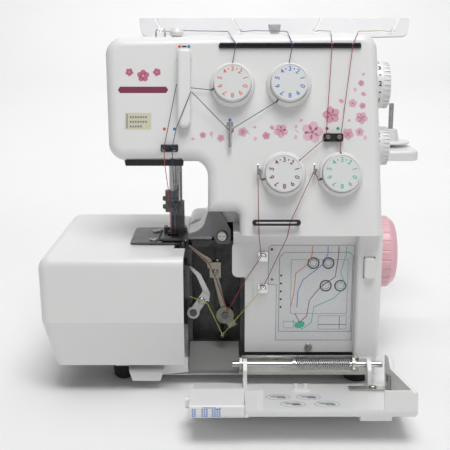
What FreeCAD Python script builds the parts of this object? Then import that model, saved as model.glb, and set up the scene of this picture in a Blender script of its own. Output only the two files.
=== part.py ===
"""A four-thread serger (overlock sewing machine), modelled as an assembly of separate named pieces.

Millimetres. +X is the operator's right, +Y points away from the operator and +Z is up. The origin is on the table,
below the middle of the machine's bounding box. Sizes are first laid out in a bench frame, in which X = 0 is the
middle of the bed and Y = 0 is the inner front panel; bench_x and bench_y carry that frame to the origin.
"""

import FreeCAD, Part
import math
import os
import re

import Sketcher

V = FreeCAD.Vector
doc = FreeCAD.newDocument("serger")

# ---------------------------------------------------------------- driving dimensions

SIZES = {
    # where the bench frame lies
    "bench_x": -23.0,
    "bench_y": -49.6,
    # column and head casing
    "wall": 2.6,
    "head_left": -99.0,
    "head_left_low": -95.0,
    "column_left": -14.0,
    "casing_right_low": 131.5,
    "casing_right_mid": 128.8,
    "casing_right_high": 125.0,
    "casing_top": 294.0,
    "casing_top_left": 290.0,
    "casing_low": 134.0,
    "head_low": 192.0,
    "casing_back": 125.0,
    "split_y": 62.0,
    "corner_r": 14.0,
    "throat_r": 13.0,
    "rim_r": 9.0,
    "back_r": 8.0,
    "notch_right": 12.0,
    "notch_top": 151.0,
    "notch_depth": 28.0,
    # the front face leans back: face_slope is the tangent of its tilt
    "face_low_y": -21.0,
    "face_low_z": 138.0,
    "face_slope": 0.268,
    "face_sin": 0.2589,
    "face_cos": 0.9659,
    # lower body
    "base_low": 9.0,
    "base_top": 24.0,
    "bed_left": -33.0,
    "bed_top": 112.0,
    "panel_left": 17.0,
    "panel_top": 124.0,
    "strip_left": 110.0,
    "strip_y": -10.0,
    # hinge of the looper cover
    "hinge_y": -20.0,
    "hinge_z": 22.0,
    "hinge_shaft_r": 2.6,
    "cover_open": 78.0,
    # cloth plate
    "cloth_left": -150.5,
    "cloth_right": -33.4,
    "cloth_front": -40.0,
    "cloth_back": 128.0,
    "cloth_top": 120.0,
    "cloth_low": 26.0,
    "cloth_pivot_x": -37.5,
    "cloth_pivot_y": 121.0,
    "lug_low": 40.0,
    "lug_high": 92.0,
    # stitching area
    "plate_low": 120.3,
    "plate_top": 122.0,
    "needle_x": -44.0,
    "needle_y": 18.0,
    "needle_bar_r": 3.2,
    "presser_x": -40.0,
    "presser_y": 32.0,
    "presser_bar_r": 3.0,
    "upper_pivot_x": 0.0,
    "upper_pivot_z": 57.0,
    "lower_pivot_x": -27.5,
    "lower_pivot_z": 57.0,
    "lifter_x": -45.0,
    "lifter_z": 222.0,
    # main shaft, hand wheel and motor
    "shaft_y": 72.0,
    "shaft_z": 96.0,
    "shaft_r": 6.0,
    "wheel_r": 33.0,
    "motor_y": 88.0,
    "motor_z": 54.0,
    "motor_r": 25.0,
    # tension dials
    "dial_1_x": 6.0,
    "dial_2_x": 52.0,
    "dial_3_x": 47.4,
    "dial_4_x": 93.4,
    "dial_high_row": 119.0,
    "dial_low_row": 46.0,
    "dial_r": 15.3,
    "dial_high": 13.0,
    "spindle_r": 2.5,
    # dials and sockets on the right side
    "length_dial_y": 50.0,
    "length_dial_z": 250.0,
    "ratio_dial_y": 50.0,
    "ratio_dial_z": 197.5,
    "switch_y": 78.0,
    "switch_z": 44.0,
    "inlet_y": 104.0,
    "inlet_z": 44.0,
    "button_x": 120.0,
    "button_z": 104.0,
    # spool stand and telescopic pole
    "pole_x": 47.0,
    "pole_y": 138.0,
    "bar_z": 296.0,
    "bar_tilt": 60.0,
    "spool_pin_r": 2.5,
    "tray_low": 168.0,
    "tray_left": -101.0,
    "tray_right": 195.0,
    "tray_front": 150.0,
    "tray_back": 222.0,
}

sheet = doc.addObject("Spreadsheet::Sheet", "Sizes")
for row, (alias, value) in enumerate(SIZES.items(), start=1):
    sheet.set(f"A{row}", alias)
    sheet.set(f"B{row}", str(value))
    sheet.setAlias(f"B{row}", alias)
doc.recompute()


ALIAS = re.compile(r"[a-z][a-z_0-9]+")
TERM = re.compile(r"([+-]?)([a-z_0-9.*/]+)")
FACTOR = re.compile(r"([*/]?)([a-z_0-9.]+)")


# ---------------------------------------------------------------- helpers


def val(formula):
    """The number that a formula stands for: sums of products of sheet aliases and numbers, or a plain number."""
    if not isinstance(formula, str):
        return float(formula)
    total = 0.0
    for sign, term in TERM.findall(formula.replace(" ", "")):
        product = 1.0
        for operation, factor in FACTOR.findall(term):
            number = float(getattr(sheet, factor)) if ALIAS.fullmatch(factor) else float(factor)
            product = product / number if operation == "/" else product * number
        total += -product if sign == "-" else product
    return total


def bind(thing, prop, formula):
    """Binds one property to the sheet, if the formula names a cell of it."""
    if isinstance(formula, str):
        thing.setExpression(prop, ALIAS.sub(lambda word: "Sizes." + word.group(0), formula))


def less(high, low):
    """The formula high - low."""
    if isinstance(high, str) or isinstance(low, str):
        return f"{high}-({low})" if isinstance(low, str) else f"{high}-{low}" if low >= 0 else f"{high}+{-low}"
    return high - low


def corner(before, here, after, radius):
    """Where a rounded corner's arc starts, ends and has its centre, and whether it turns left."""
    to_before = (before - here).normalize()
    to_after = (after - here).normalize()
    half = to_before.getAngle(to_after) / 2
    reach = radius / math.tan(half)
    start, end = here + to_before * reach, here + to_after * reach
    centre = here + (to_before + to_after).normalize() * (radius / math.sin(half))
    left = (here - before).cross(after - here).z > 0
    return start, end, centre, left


def draw_outline(sketch, points):
    """A closed outline through points (u, v) or (u, v, corner radius), every coordinate held by a constraint."""
    count = len(points)
    corners = [V(val(p[0]), val(p[1]), 0) for p in points]
    arcs = {}
    for i, point in enumerate(points):
        if len(point) == 3:
            arcs[i] = corner(corners[i - 1], corners[i], corners[(i + 1) % count], val(point[2]))
    for i in range(count):
        after = (i + 1) % count
        start = arcs[i][1] if i in arcs else corners[i]
        end = arcs[after][0] if after in arcs else corners[after]
        sketch.addGeometry(Part.LineSegment(start, end), False)
    for i, point in enumerate(points):
        before = (i - 1) % count
        if i not in arcs:
            sketch.addConstraint(Sketcher.Constraint("Coincident", before, 2, i, 1))
            hold(sketch, i, point)
            continue
        start, end, centre, left = arcs[i]
        first, last = (start, end) if left else (end, start)
        circle = Part.Circle(centre, V(0, 0, 1), val(point[2]))
        angles = [math.atan2(p.y - centre.y, p.x - centre.x) for p in (first, last)]
        arc = sketch.addGeometry(Part.ArcOfCircle(circle, *angles), False)
        near, far = (1, 2) if left else (2, 1)
        sketch.addConstraint(Sketcher.Constraint("Tangent", before, 2, arc, near))
        sketch.addConstraint(Sketcher.Constraint("Tangent", arc, far, i, 1))
        index = sketch.addConstraint(Sketcher.Constraint("Radius", arc, val(point[2])))
        bind(sketch, f"Constraints[{index}]", point[2])
        tip = sketch.addGeometry(Part.Point(corners[i]), True)
        sketch.addConstraint(Sketcher.Constraint("PointOnObject", tip, 1, before))
        sketch.addConstraint(Sketcher.Constraint("PointOnObject", tip, 1, i))
        hold(sketch, tip, point)


def hold(sketch, geometry, point):
    """Holds the start of one piece of geometry at the point's two coordinates."""
    for kind, formula in zip(("DistanceX", "DistanceY"), point):
        number = val(formula)
        index = sketch.addConstraint(Sketcher.Constraint(kind, -1, 1, geometry, 1, number))
        bind(sketch, f"Constraints[{index}]", formula)


def draw_circles(sketch, circles):
    """Circles (u, v, radius), held by constraints."""
    for u, v, radius in circles:
        index = sketch.addGeometry(Part.Circle(V(val(u), val(v), 0), V(0, 0, 1), val(radius)), False)
        held = sketch.addConstraint(Sketcher.Constraint("Radius", index, val(radius)))
        bind(sketch, f"Constraints[{held}]", radius)
        for kind, formula in (("DistanceX", u), ("DistanceY", v)):
            held = sketch.addConstraint(Sketcher.Constraint(kind, -1, 1, index, 3, val(formula)))
            bind(sketch, f"Constraints[{held}]", formula)


# A sketch's plane, and which way its pad grows: XY along +Z, XZ along -Y, YZ along +X.
PLANES = {"z": "XY_Plane", "y": "XZ_Plane", "x": "YZ_Plane"}


class Piece:
    """One PartDesign body, grown feature by feature."""

    def __init__(self, name):
        self.body = doc.addObject("PartDesign::Body", name)
        self.name = name
        self.count = 0

    def add(self, kind, note):
        self.count += 1
        return self.body.newObject(kind, f"{self.name}_{note}_{self.count}")

    def sketch(self, axis, level):
        made = self.add("Sketcher::SketchObject", "sketch")
        plane = next(f for f in self.body.Origin.OriginFeatures if f.Role == PLANES[axis])
        made.AttachmentSupport = [(plane, "")]
        made.MapMode = "FlatFace"
        offset = f"0-({level})" if axis == "y" and isinstance(level, str) else -level if axis == "y" else level
        made.AttachmentOffset = FreeCAD.Placement(V(0, 0, val(level) * (-1 if axis == "y" else 1)), FreeCAD.Rotation())
        bind(made, "AttachmentOffset.Base.z", offset)
        return made

    def grow(self, kind, axis, low, high, points=None, circles=None):
        """A pad or a pocket of an outline or circles between two levels along an axis."""
        sketch = self.sketch(axis, high if axis == "y" else low)
        if points:
            draw_outline(sketch, points)
        if circles:
            draw_circles(sketch, circles)
        made = self.add(kind, kind.split("::")[1].lower())
        made.Profile = sketch
        made.Length = val(high) - val(low)
        bind(made, "Length", less(high, low))
        if kind == "PartDesign::Pocket":
            made.Reversed = True
        return made

    def pad(self, axis, low, high, points=None, circles=None):
        self.grow("PartDesign::Pad", axis, low, high, points, circles)
        return self

    def cut(self, axis, low, high, points=None, circles=None):
        doc.recompute()
        before = self.body.Shape.Volume
        self.grow("PartDesign::Pocket", axis, low, high, points, circles)
        doc.recompute()
        if not self.body.Shape.Volume < before - 1e-3:
            raise RuntimeError(f"{self.name}: a pocket cut nothing")
        return self

    def revolve(self, points, groove=False, axis="H_Axis"):
        """A turned solid (or groove) about the local X axis of the XZ plane, from its half outline (x, radius)."""
        sketch = self.sketch("y", 0)
        draw_outline(sketch, points)
        made = self.add("PartDesign::Groove" if groove else "PartDesign::Revolution", "turned")
        made.Profile = sketch
        made.ReferenceAxis = (sketch, [axis])
        made.Angle = 360
        return self

    def fillet(self, radius, pick, kind="PartDesign::Fillet"):
        """Rounds (or chamfers) the edges that pick chooses."""
        doc.recompute()
        tip = self.body.Tip
        names = [f"Edge{i}" for i, e in enumerate(tip.Shape.Edges, start=1) if pick(e)]
        if not names:
            raise RuntimeError(f"{self.name}: no edge to round")
        made = self.add(kind, "round")
        made.Base = (tip, names)
        prop = "Radius" if kind == "PartDesign::Fillet" else "Size"
        setattr(made, prop, val(radius))
        bind(made, prop, radius)
        doc.recompute()
        if "Invalid" in made.State or "Error" in made.State or not made.Shape.isValid():
            raise RuntimeError(f"{self.name}: rounding {radius} failed")
        return self


def middle(edge):
    return edge.CenterOfMass


def runs(edge, axis):
    """Whether an edge is straight and runs along an axis."""
    if not isinstance(edge.Curve, Part.Line):
        return False
    way = edge.Curve.Direction
    return abs(getattr(way, axis)) > 0.999


def box(name, low, high):
    """A box between two corners, both given as formulas."""
    made = doc.addObject("Part::Box", name)
    for prop, a, b in zip(("Length", "Width", "Height"), low, high):
        setattr(made, prop, val(b) - val(a))
        bind(made, prop, less(b, a))
    place(made, low)
    return made


TURNS = {"x": FreeCAD.Rotation(V(0, 1, 0), 90), "y": FreeCAD.Rotation(V(1, 0, 0), -90), "z": FreeCAD.Rotation()}


def place(thing, at, turn=None):
    """Puts a thing at a point given by formulas."""
    thing.Placement = FreeCAD.Placement(V(*[val(c) for c in at]), turn or FreeCAD.Rotation())
    for letter, formula in zip("xyz", at):
        bind(thing, f"Placement.Base.{letter}", formula)
    return thing


def rod(name, axis, at, length, radius, inner=None):
    """A cylinder, or a tube, from at along +axis."""
    made = doc.addObject("Part::Cylinder", name)
    made.Radius, made.Height = val(radius), val(length)
    bind(made, "Radius", radius)
    bind(made, "Height", length)
    place(made, at, TURNS[axis])
    if inner is None:
        return made
    hole = doc.addObject("Part::Cylinder", name + "_hole")
    hole.Radius, hole.Height = val(inner), val(length)
    bind(hole, "Radius", inner)
    bind(hole, "Height", length)
    place(hole, at, TURNS[axis])
    return subtract(name + "_tube", made, [hole])


def fuse(name, parts):
    made = doc.addObject("Part::MultiFuse", name)
    made.Shapes = parts
    return made


def subtract(name, base, tools):
    made = doc.addObject("Part::Cut", name)
    made.Base = base
    made.Tool = tools[0] if len(tools) == 1 else fuse(name + "_tools", tools)
    return made


def group(name, parts):
    """Several separate solids in one node."""
    made = doc.addObject("Part::Compound", name)
    made.Links = parts
    return made


def swept(name, path, radius):
    """A round wire of one radius along straight runs joined by arcs, through points (x, y, z, bend radius)."""
    points = [V(*[val(c) for c in p[:3]]) for p in path]
    edges, start = [], points[0]
    for before, here, after, p in zip(points, points[1:], points[2:], path[1:]):
        a, b = (before - here).normalize(), (after - here).normalize()
        half = a.getAngle(b) / 2
        reach = p[3] / math.tan(half)
        first, last = here + a * reach, here + b * reach
        mid = here + (a + b).normalize() * (p[3] / math.sin(half) - p[3])
        edges += [Part.LineSegment(start, first).toShape(), Part.Arc(first, mid, last).toShape()]
        start = last
    edges.append(Part.LineSegment(start, points[-1]).toShape())
    wire = Part.Wire(edges)
    disc = Part.Wire([Part.Circle(points[0], points[1] - points[0], val(radius)).toShape()])
    made = doc.addObject("Part::Feature", name)
    made.Shape = wire.makePipeShell([disc], True, True, 1)
    return made


nodes = {}


def node(thing, label, at=(0, 0, 0), turn=None):
    """Makes a thing one named sub-part, placed in the bench frame; the bench frame's own shift is added here."""
    if isinstance(thing, Piece):
        thing = thing.body
    if thing.TypeId in ("Part::Box", "Part::Cylinder", "Part::Feature"):
        thing = group(label + "_piece", [thing])
    thing.Label = label
    where = [f"{at[0]}+bench_x" if at[0] else "bench_x", f"{at[1]}+bench_y" if at[1] else "bench_y", at[2]]
    place(thing, where, turn)
    nodes[label] = thing
    return thing


# ---------------------------------------------------------------- casings


def y_face(z, out="0"):
    """Bench Y of the leaning front face at height z, moved inwards by out."""
    return f"face_low_y+face_slope*{z}-face_slope*face_low_z+{out}"


def upper_block(name, inset, front):
    """The head and column as one block: its outside (inset 0) or its hollow (inset 1).

    The front part has the leaning face; the rear part also reaches down to the table side of the machine.
    """
    w = f"{inset}*wall"
    radius = f"corner_r-{w}"
    head = [
        (f"head_left_low+{w}", f"head_low+{w}", radius),
        (f"head_left+{w}", f"casing_top_left-{w}", radius),
        (f"casing_right_high-{w}", f"casing_top-{w}", radius),
    ]
    piece = Piece(name)
    if front:
        outline = head + [
            (f"casing_right_mid-{w}", f"casing_low+{w}"),
            (f"column_left+{w}", f"casing_low+{w}"),
            (f"column_left+{w}", f"head_low+{w}", f"throat_r+{w}"),
        ]
        piece.pad("y", "0-30", f"split_y-0.2+{inset}*0.7", outline)
        lean = [(-70, 110), (y_face("110", w), 110), (y_face("300", w), 300), (-70, 300)]
        piece.cut("x", -120, 150, lean)
        notch = [
            ("column_left-5", f"casing_low-5+{w}"),
            (f"notch_right+{w}", f"casing_low-5+{w}"),
            (f"notch_right+{w}", f"notch_top+{w}", 5),
            ("column_left-5", f"notch_top+{w}"),
        ]
        piece.cut("y", -40, f"notch_depth+{w}", notch)
        near = "split_y-1"
    else:
        outline = head + [
            (f"casing_right_low-{w}", f"base_top+{w}"),
            (f"bed_left+{w}", f"base_top+{w}"),
            (f"bed_left+{w}", f"bed_top-{w}"),
            (f"column_left+{w}", f"bed_top-{w}"),
            (f"column_left+{w}", f"head_low+{w}", f"throat_r+{w}"),
        ]
        piece.pad("y", f"split_y-{inset}*0.5", f"casing_back-{w}", outline)
        near = "split_y+1"
    limit = val(near)
    lowest = val(f"casing_low+{w}") + 0.5 if front else val(f"base_top+{w}") + 0.5
    slope = val("face_slope")
    face = val("face_low_y") + val(w)

    def outer_rim(edge):
        here = middle(edge)
        if front:
            on_face = abs(here.y - (face + slope * (here.z - val("face_low_z")))) < 0.6
            return on_face and here.z > lowest
        return here.y > val(f"casing_back-{w}") - 0.1 and here.z > lowest

    piece.fillet(f"rim_r-{w}" if front else f"back_r-{w}", outer_rim)
    return piece



# The frame of the leaning face: local x is +X, local y runs up the face and local z stands out of it.
FACE_TURN = FreeCAD.Rotation(V(1, 0, 0), 90 - math.degrees(math.atan(val("face_slope"))))
FACE = ("0", "face_low_y", "face_low_z")


def on_face(x, up, out=0):
    """The bench point at x, up the face, and out of it by a number (negative: behind the face)."""
    forward, rise = ("+", "-") if out < 0 else ("-", "+")
    y = f"face_low_y+face_sin*{up}{forward}face_cos*{abs(out)}"
    z = f"face_low_z+face_cos*{up}{rise}face_sin*{abs(out)}"
    return (x, y, z)


def face_rod(name, x, up, low, length, radius):
    """A round bar square to the face, from low (its distance out of the face) outwards."""
    made = rod(name, "z", (0, 0, 0), length, radius)
    return place(made, on_face(x, up, low), FACE_TURN)


# Tension dials: (number, x, height up the face, angles of the two thread notches in the collar)
DIALS = [
    (1, "dial_1_x", "dial_high_row", (90, 196)),
    (2, "dial_2_x", "dial_high_row", (90, 235)),
    (3, "dial_3_x", "dial_low_row", (40, 195)),
    (4, "dial_4_x", "dial_low_row", (90, 195)),
]

front_outside = upper_block("front_casing_outside", 0, True)
front_hollow = upper_block("front_casing_hollow", 1, True)
openings = [front_hollow.body]
for number, x, up, notches in DIALS:
    openings.append(face_rod(f"spindle_hole_{number}", x, up, -6, 8, 4))
openings += [
    box("head_opening", (-81, -1, 188), (-35, 50, 204)),
    rod("length_dial_hole", "x", (115, "length_dial_y", "length_dial_z"), 20, 4.6),
    rod("differential_dial_hole", "x", (115, "ratio_dial_y", "ratio_dial_z"), 20, 4.6),
    rod("pressure_knob_hole", "z", ("presser_x", "presser_y", 280), 15, 4.6),
    box("column_slot", (-6.4, 41.6, 133), (17.4, 54.4, 137.4)),
]
front_shell = subtract("front_casing_shell", front_outside.body, openings)
throat_foot = Piece("throat_foot")
throat_foot.pad("y", 26.5, 61.5, [(-32, 119), (-32, 123.5), (-19, 128.5, 14), (-14, 147), (-11.5, 147), (-11.5, 119)])
node(fuse("front_casing_whole", [front_shell, throat_foot.body]), "front_casing")

rear_outside = upper_block("rear_casing_outside", 0, False)
hump = Piece("bed_hump")
hump.pad("z", 104, 127, [(-33, 62.2), (-8, 62.2), (-8, 124.8), (-33, 124.8)])
hump.fillet(8, lambda e: middle(e).z > 126.9 or (runs(e, "z") and middle(e).x < -30))
rear_hollow = upper_block("rear_casing_hollow", 1, False)
rear_openings = [
    rear_hollow.body,
    rod("shaft_hole", "x", (120, "shaft_y", "shaft_z"), 20, "shaft_r+1.5"),
    box("switch_hole", (128, "switch_y-6.2", "switch_z-9.2"), (140, "switch_y+6.2", "switch_z+9.2")),
    box("inlet_hole", (128, "inlet_y-10.2", "inlet_z-7.2"), (140, "inlet_y+10.2", "inlet_z+7.2")),
    rod("lifter_hole", "y", ("lifter_x", 118, "lifter_z"), 12, 4.1),
]
rear_shell = subtract("rear_casing_shell", fuse("rear_casing_sum", [rear_outside.body, hump.body]), rear_openings)
hinge_lugs = []
for low in ("lug_low", "lug_high"):
    lug = box(f"cloth_{low}_bar", (-38.5, 117.5, low), ("bed_left+0.4", 124.5, f"{low}+5"))
    hinge_lugs.append(lug)
    hinge_lugs.append(rod(f"cloth_{low}_pin", "z", ("cloth_pivot_x", "cloth_pivot_y", f"{low}+4.5"), 7, 1.9))
node(fuse("rear_casing_whole", [rear_shell] + hinge_lugs), "rear_casing")

# ---------------------------------------------------------------- lower body

tray = Piece("base_tray_body")
tray.pad("z", "base_low", "base_top", [(-95, -12, 8), (-95, 125, 8), (129.6, 125, 6), (129.6, -12, 6)])
tray.cut("z", "base_low+3", "base_top+1", [(-92, -9, 6), (-92, 122, 6), (126.6, 122, 4), (126.6, -9, 4)])
lug = Piece("base_tray_lug")
lug.pad("x", -82, -50, [(-25, 9, 2), (-25, 19, 3), (-11, 22), (-11, 8.5), (-20, 7)])
lug.fillet(3, lambda e: runs(e, "x") is False and middle(e).y < -13 and abs(middle(e).x + 66) > 15)
lug.cut("y", -26, -8, [(-83, 22.1), (-82, 22.1), (-76.5, 6), (-83, 6)])
lug.cut("y", -26, -8, [(-50, 22.1), (-49, 22.1), (-49, 6), (-55.5, 6)])
chute = Piece("base_tray_chute")
chute.pad("x", -31, 12, [(-13.5, 11), (-13.5, 14), (18, 28), (18, 25)])
chute_gap = box("chute_gap", (-31.5, -13, 14), (12.5, -8, 25))
bosses = [rod(f"tray_boss_{i}", "z", (x, y, "base_low+2"), 6, 5) for i, (x, y) in enumerate(
    ((-62, 14), (115, 14), (-78, 105), (115, 105)))]
# The front left corner is stepped back and up, and stands on a taller foot.
corner_cuts = [box("tray_corner_front", (-100, -13, 8), (-74, -1, 25)), box("tray_corner_low", (-100, -13, 8), (-74, 20, 12.5))]
corner_walls = [
    box("tray_corner_floor", (-95, -1, 12.5), (-74, 20, 15)),
    box("tray_corner_wall", (-95, -1, 12.5), (-74, 1.5, "base_top")),
    box("tray_corner_side", (-76.5, -12, "base_low"), (-74, 20, "base_top")),
    box("tray_corner_back", (-95, 18.6, "base_low"), (-74, 21, 15)),
]
tray_cut = subtract("base_tray_cut", tray.body, [chute_gap] + corner_cuts)
node(fuse("base_tray_sum", [tray_cut, lug.body, chute.body] + corner_walls + bosses), "base_tray")

feet = []
for i, (x, y, wide, top) in enumerate(((-88, 8.5, 10, 12.5), (115, 5, 13, "base_low"), (-78, 105, 13, "base_low"),
                                      (115, 105, 13, "base_low"))):
    foot = Piece(f"foot_{i}")
    foot.revolve([(0, 0), (wide - 2.5, 0), (wide - 0.5, 2.5), (wide, top), (0, top)], axis="V_Axis")
    feet.append(place(foot.body, (x, y, 0)))
node(group("feet", feet), "rubber_feet")

# The cast frame carries the shaft, the looper bearings, the bars in the head and the tension studs.
frame_parts = [
    box("frame_back", (-32.6, 38, 24), (17, 42, 118)),
    box("frame_side", (-32.6, 20, 24), (-28.6, 61.5, 111)),
    box("frame_right", (13.2, 20, 24), (17, 61.5, 118)),
    box("frame_foot", (-32.6, 20, 12), (17, 61.5, 24)),
    box("frame_rib", (-8, 34, 30), (-4, 40, 110)),
    box("frame_shelf", (-28.6, 26.5, 112), (17, 42, 118)),
    box("frame_screen", (-39, 57, 30), (-32.6, 61, 106)),
    box("frame_arm", (-64, 20, 104), (-29, 47.5, 112)),
    box("plate_block", (-64, 8, 108), (-36, 47.5, "plate_low-0.1")),
    box("frame_column", (-6, 42, 112), (17, 54, 262)),
    box("frame_head", (-60, 42, 236), (17, 54, 262)),
    box("bar_web", (-50, 12, 226), (-34, 44, 236)),
    box("bar_web_low", (-50, 10, 206), (-34, 44, 214)),
    box("bar_web_up", (-50, 42, 206), (-34, 54, 240)),
    box("shaft_web_left", (6, 61, 60), (17, 82, 110)),
    box("shaft_link_left", (6, 50, 60), (17, 62, 110)),
    box("shaft_web_right", (106, 52, 26.8), (116, 84, 110)),
    box("shaft_link_right", (17, 52, 24.5), (107, 60, 34)),
    box("panel_link", (17, 40, 24.5), (30, 60, 34)),
]
spindle_plate = box("tension_plate", (0, 0, 0), (116, 110, 3))
place(spindle_plate, on_face(-8, 24, -26), FACE_TURN)
frame_parts += [spindle_plate, box("tension_plate_link", (0, 22, 200), (16, 44, 222))]
for number, x, up, notches in DIALS:
    frame_parts.append(face_rod(f"tension_spindle_{number}", x, up, -24, 32.6, "spindle_r"))
for label, (x, z, low, high) in {
    "upper_looper_pin": ("upper_pivot_x", "upper_pivot_z", 2, 40),
    "lower_looper_pin": ("lower_pivot_x", "lower_pivot_z", 9, 40),
}.items():
    frame_parts.append(rod(label, "y", (x, low, z), high - low, 3))
frame_cuts = [
    rod("needle_bar_bore", "z", ("needle_x", "needle_y", 200), 60, "needle_bar_r+0.05"),
    rod("presser_bar_bore", "z", ("presser_x", "presser_y", 200), 60, "presser_bar_r+0.05"),
    rod("shaft_bore", "x", (0, "shaft_y", "shaft_z"), 125, "shaft_r+0.05"),
    box("feed_left_gap", (-57.5, 7, 107), (-50.5, 46.5, 122)),
    box("feed_right_gap", (-41, 7, 107), (-35.5, 46.5, 122)),
    box("needle_gap", (-49.5, 7, 107), (-41.5, 21.5, 122)),
]
node(subtract("frame_casting", fuse("frame_sum", frame_parts), frame_cuts), "main_frame")

panel = Piece("panel_plate")
panel.pad("y", 0, 2.5, [("panel_left", 25), ("panel_left", 92.5, 1), (6, 92.5, 5), (6, "panel_top", 6),
                        (111, "panel_top"), (111, 25)])
ledge = Piece("panel_ledge")
ledge.pad("x", 7, 129.4, [(0, "panel_top-2"), (-8, "casing_low-1"), (-8, "casing_low-0.2"), (60, "casing_low-0.2"),
                        (60, "casing_low-2.6"), (2.5, "casing_low-2.6"), (2.5, "panel_top-2")])
strip = Piece("panel_strip")
strip.pad("z", "base_top+0.2", "casing_low-0.2", [("strip_left", "strip_y", 3), ("strip_left", 3), (112.5, 3),
          (112.5, "strip_y+2.5"), ("casing_right_low-2.6", "strip_y+2.5"), ("casing_right_low-2.6", "split_y-0.2"),
          ("casing_right_low", "split_y-0.2"), ("casing_right_low", "strip_y", 5)])
flange = box("panel_flange", ("panel_left", 1, 25), ("panel_left+2.4", 19.8, 122))
recess = box("panel_recess", (18.6, -1, 74), (24, 1.2, 91))
column_gap = box("column_gap", (6.4, 41.6, 131), (17.4, 54.4, 134))
button_hole = box("button_hole", ("button_x-4.7", -20, "button_z-9.2"), ("button_x+4.7", 0, "button_z+9.2"))
panel_sum = fuse("panel_sum", [panel.body, ledge.body, strip.body, flange])
node(subtract("panel_whole", panel_sum, [recess, column_gap, button_hole]), "inner_front_panel")

button = Piece("button_body")
button.pad("y", "strip_y-4.5", "strip_y+6", [("button_x-4.4", "button_z-8.9", 2), ("button_x-4.4", "button_z+8.9", 2),
           ("button_x+4.4", "button_z+8.9", 2), ("button_x+4.4", "button_z-8.9", 2)])
button.fillet(1.2, lambda e: middle(e).y < val("strip_y-4.4"))
node(button, "safety_button")

gusset = Piece("gusset_plate")
gusset.pad("y", 23, 26.3, [(-32, 122.5), (-32, 124), (-19, 128.5, 14), (-13.6, 146.5), (-3, 143, 8), (5, 128, 3),
                           (5, 115.6, 3), (-6.5, 115.6, 4), (-10.5, 122.5, 2)])
node(gusset, "bed_gusset_plate")


TO_FRONT = FreeCAD.Rotation(V(1, 0, 0), 90)
TO_LEFT = FreeCAD.Rotation(V(0, 1, 0), -90)


def pan_screw(name, turn, at, radius, high, shank=3.0):
    """A pan-head screw with a cross slot; its head stands on the point at and grows along the turned z axis."""
    head = rod(name + "_head", "z", (0, 0, 0), high, radius)
    slots = [box(f"{name}_slot_{i}", (-a, -b, high * 0.55), (a, b, high + 1)) for i, (a, b) in enumerate(
        ((radius * 0.62, radius * 0.12), (radius * 0.12, radius * 0.62)))]
    body = doc.addObject("Part::Cylinder", name + "_shank")
    body.Radius, body.Height = radius * 0.5, shank
    place(body, (0, 0, -shank))
    rounded = doc.addObject("Part::Fillet", name + "_dome")
    rounded.Base = head
    rim = next(i for i, e in enumerate(head.Shape.Edges, 1) if abs(middle(e).z - high) < 1e-6)
    rounded.Edges = [(rim, high * 0.5, high * 0.5)]
    whole = subtract(name + "_whole", fuse(name + "_sum", [rounded, body]), slots)
    return place(whole, at, turn)

# ---------------------------------------------------------------- face parts and thread guides


def face_node(parts, label):
    """Places parts drawn in the frame of the face (x, up the face, out of it)."""
    return node(group(label + "_set", parts) if len(parts) > 1 else parts[0], label, FACE, FACE_TURN)


def wire(name, path):
    """A bent wire 1.2 mm thick."""
    return swept(name, path, 0.6)


ridge = Piece("takeup_ridge")
ridge.pad("z", 0.3, 9, [(-38.4, 83.5, 5), (-38.4, 147, 3), (-27.7, 147, 3), (-27.7, 83.5, 5)])
ridge.fillet(2.5, lambda e: middle(e).z > 8.99)
ridge.pad("z", 0.3, 1.3, [(-39.3, 140, 1), (-39.3, 153, 1.5), (-27.1, 153, 1.5), (-27.1, 140, 1)])
ridge.cut("x", -29.6, -27, [(88, 3.2), (88, 4.6), (148, 4.6), (148, 3.2)])
ridge.cut("x", -39, -29, [(113, 3.2), (113, 4.6), (124, 4.6), (124, 3.2)])
face_node([ridge.body], "takeup_cover")

THREAD_X = (9, 55, 87, 104)
strip_guide = Piece("top_strip")
strip_guide.pad("z", 0.3, 1.5, [(-5, 148.9, 1), (-5, 152.6, 1), (111, 152.6, 1), (111, 148.9, 1)])
strip_guide.pad("z", 1.5, 4.2, [(-4, 151.4), (-4, 152.6), (110, 152.6), (110, 151.4)])
for x in THREAD_X:
    strip_guide.cut("y", 151.1, 153, [(x - 0.8, 1.6), (x - 0.8, 4.5), (x + 0.8, 4.5), (x + 0.8, 1.6)])
face_node([strip_guide.body], "top_thread_guide")

needle_guide = Piece("needle_guide_base")
needle_guide.pad("z", 1.2, 4, [(-52, 64, 1), (-52, 70, 1), (-38, 70, 1), (-38, 64, 1)])
loops = [wire(f"needle_guide_loop_{i}", [(x, 67, 4), (x, 67, 8.5, 1.5), (x + 4, 66, 8.5, 1.5), (x + 4, 66, 5.2)])
         for i, x in enumerate((-50, -43.5))]
guide_post = box("needle_guide_post", (-47, 67, 0.1), (-43, 69.5, 1.3))
face_node([fuse("needle_guide_sum", [needle_guide.body, guide_post] + loops)], "needle_thread_guide")

looper_guide = Piece("looper_guide_base")
looper_guide.pad("z", 0.3, 3.5, [(79.6, 72.5, 1.5), (79.6, 79, 1.5), (95.8, 79, 1.5), (95.8, 72.5, 1.5)])
studs = []
for i, x in enumerate((83, 92)):
    studs.append(rod(f"looper_stud_{i}", "z", (x, 75.5, 3.3), 3.2, 1.1))
    studs.append(rod(f"looper_stud_head_{i}", "z", (x, 75.5, 6.4), 0.9, 2.1))
face_node([fuse("looper_guide_sum", [looper_guide.body] + studs)], "looper_thread_guide")

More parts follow.
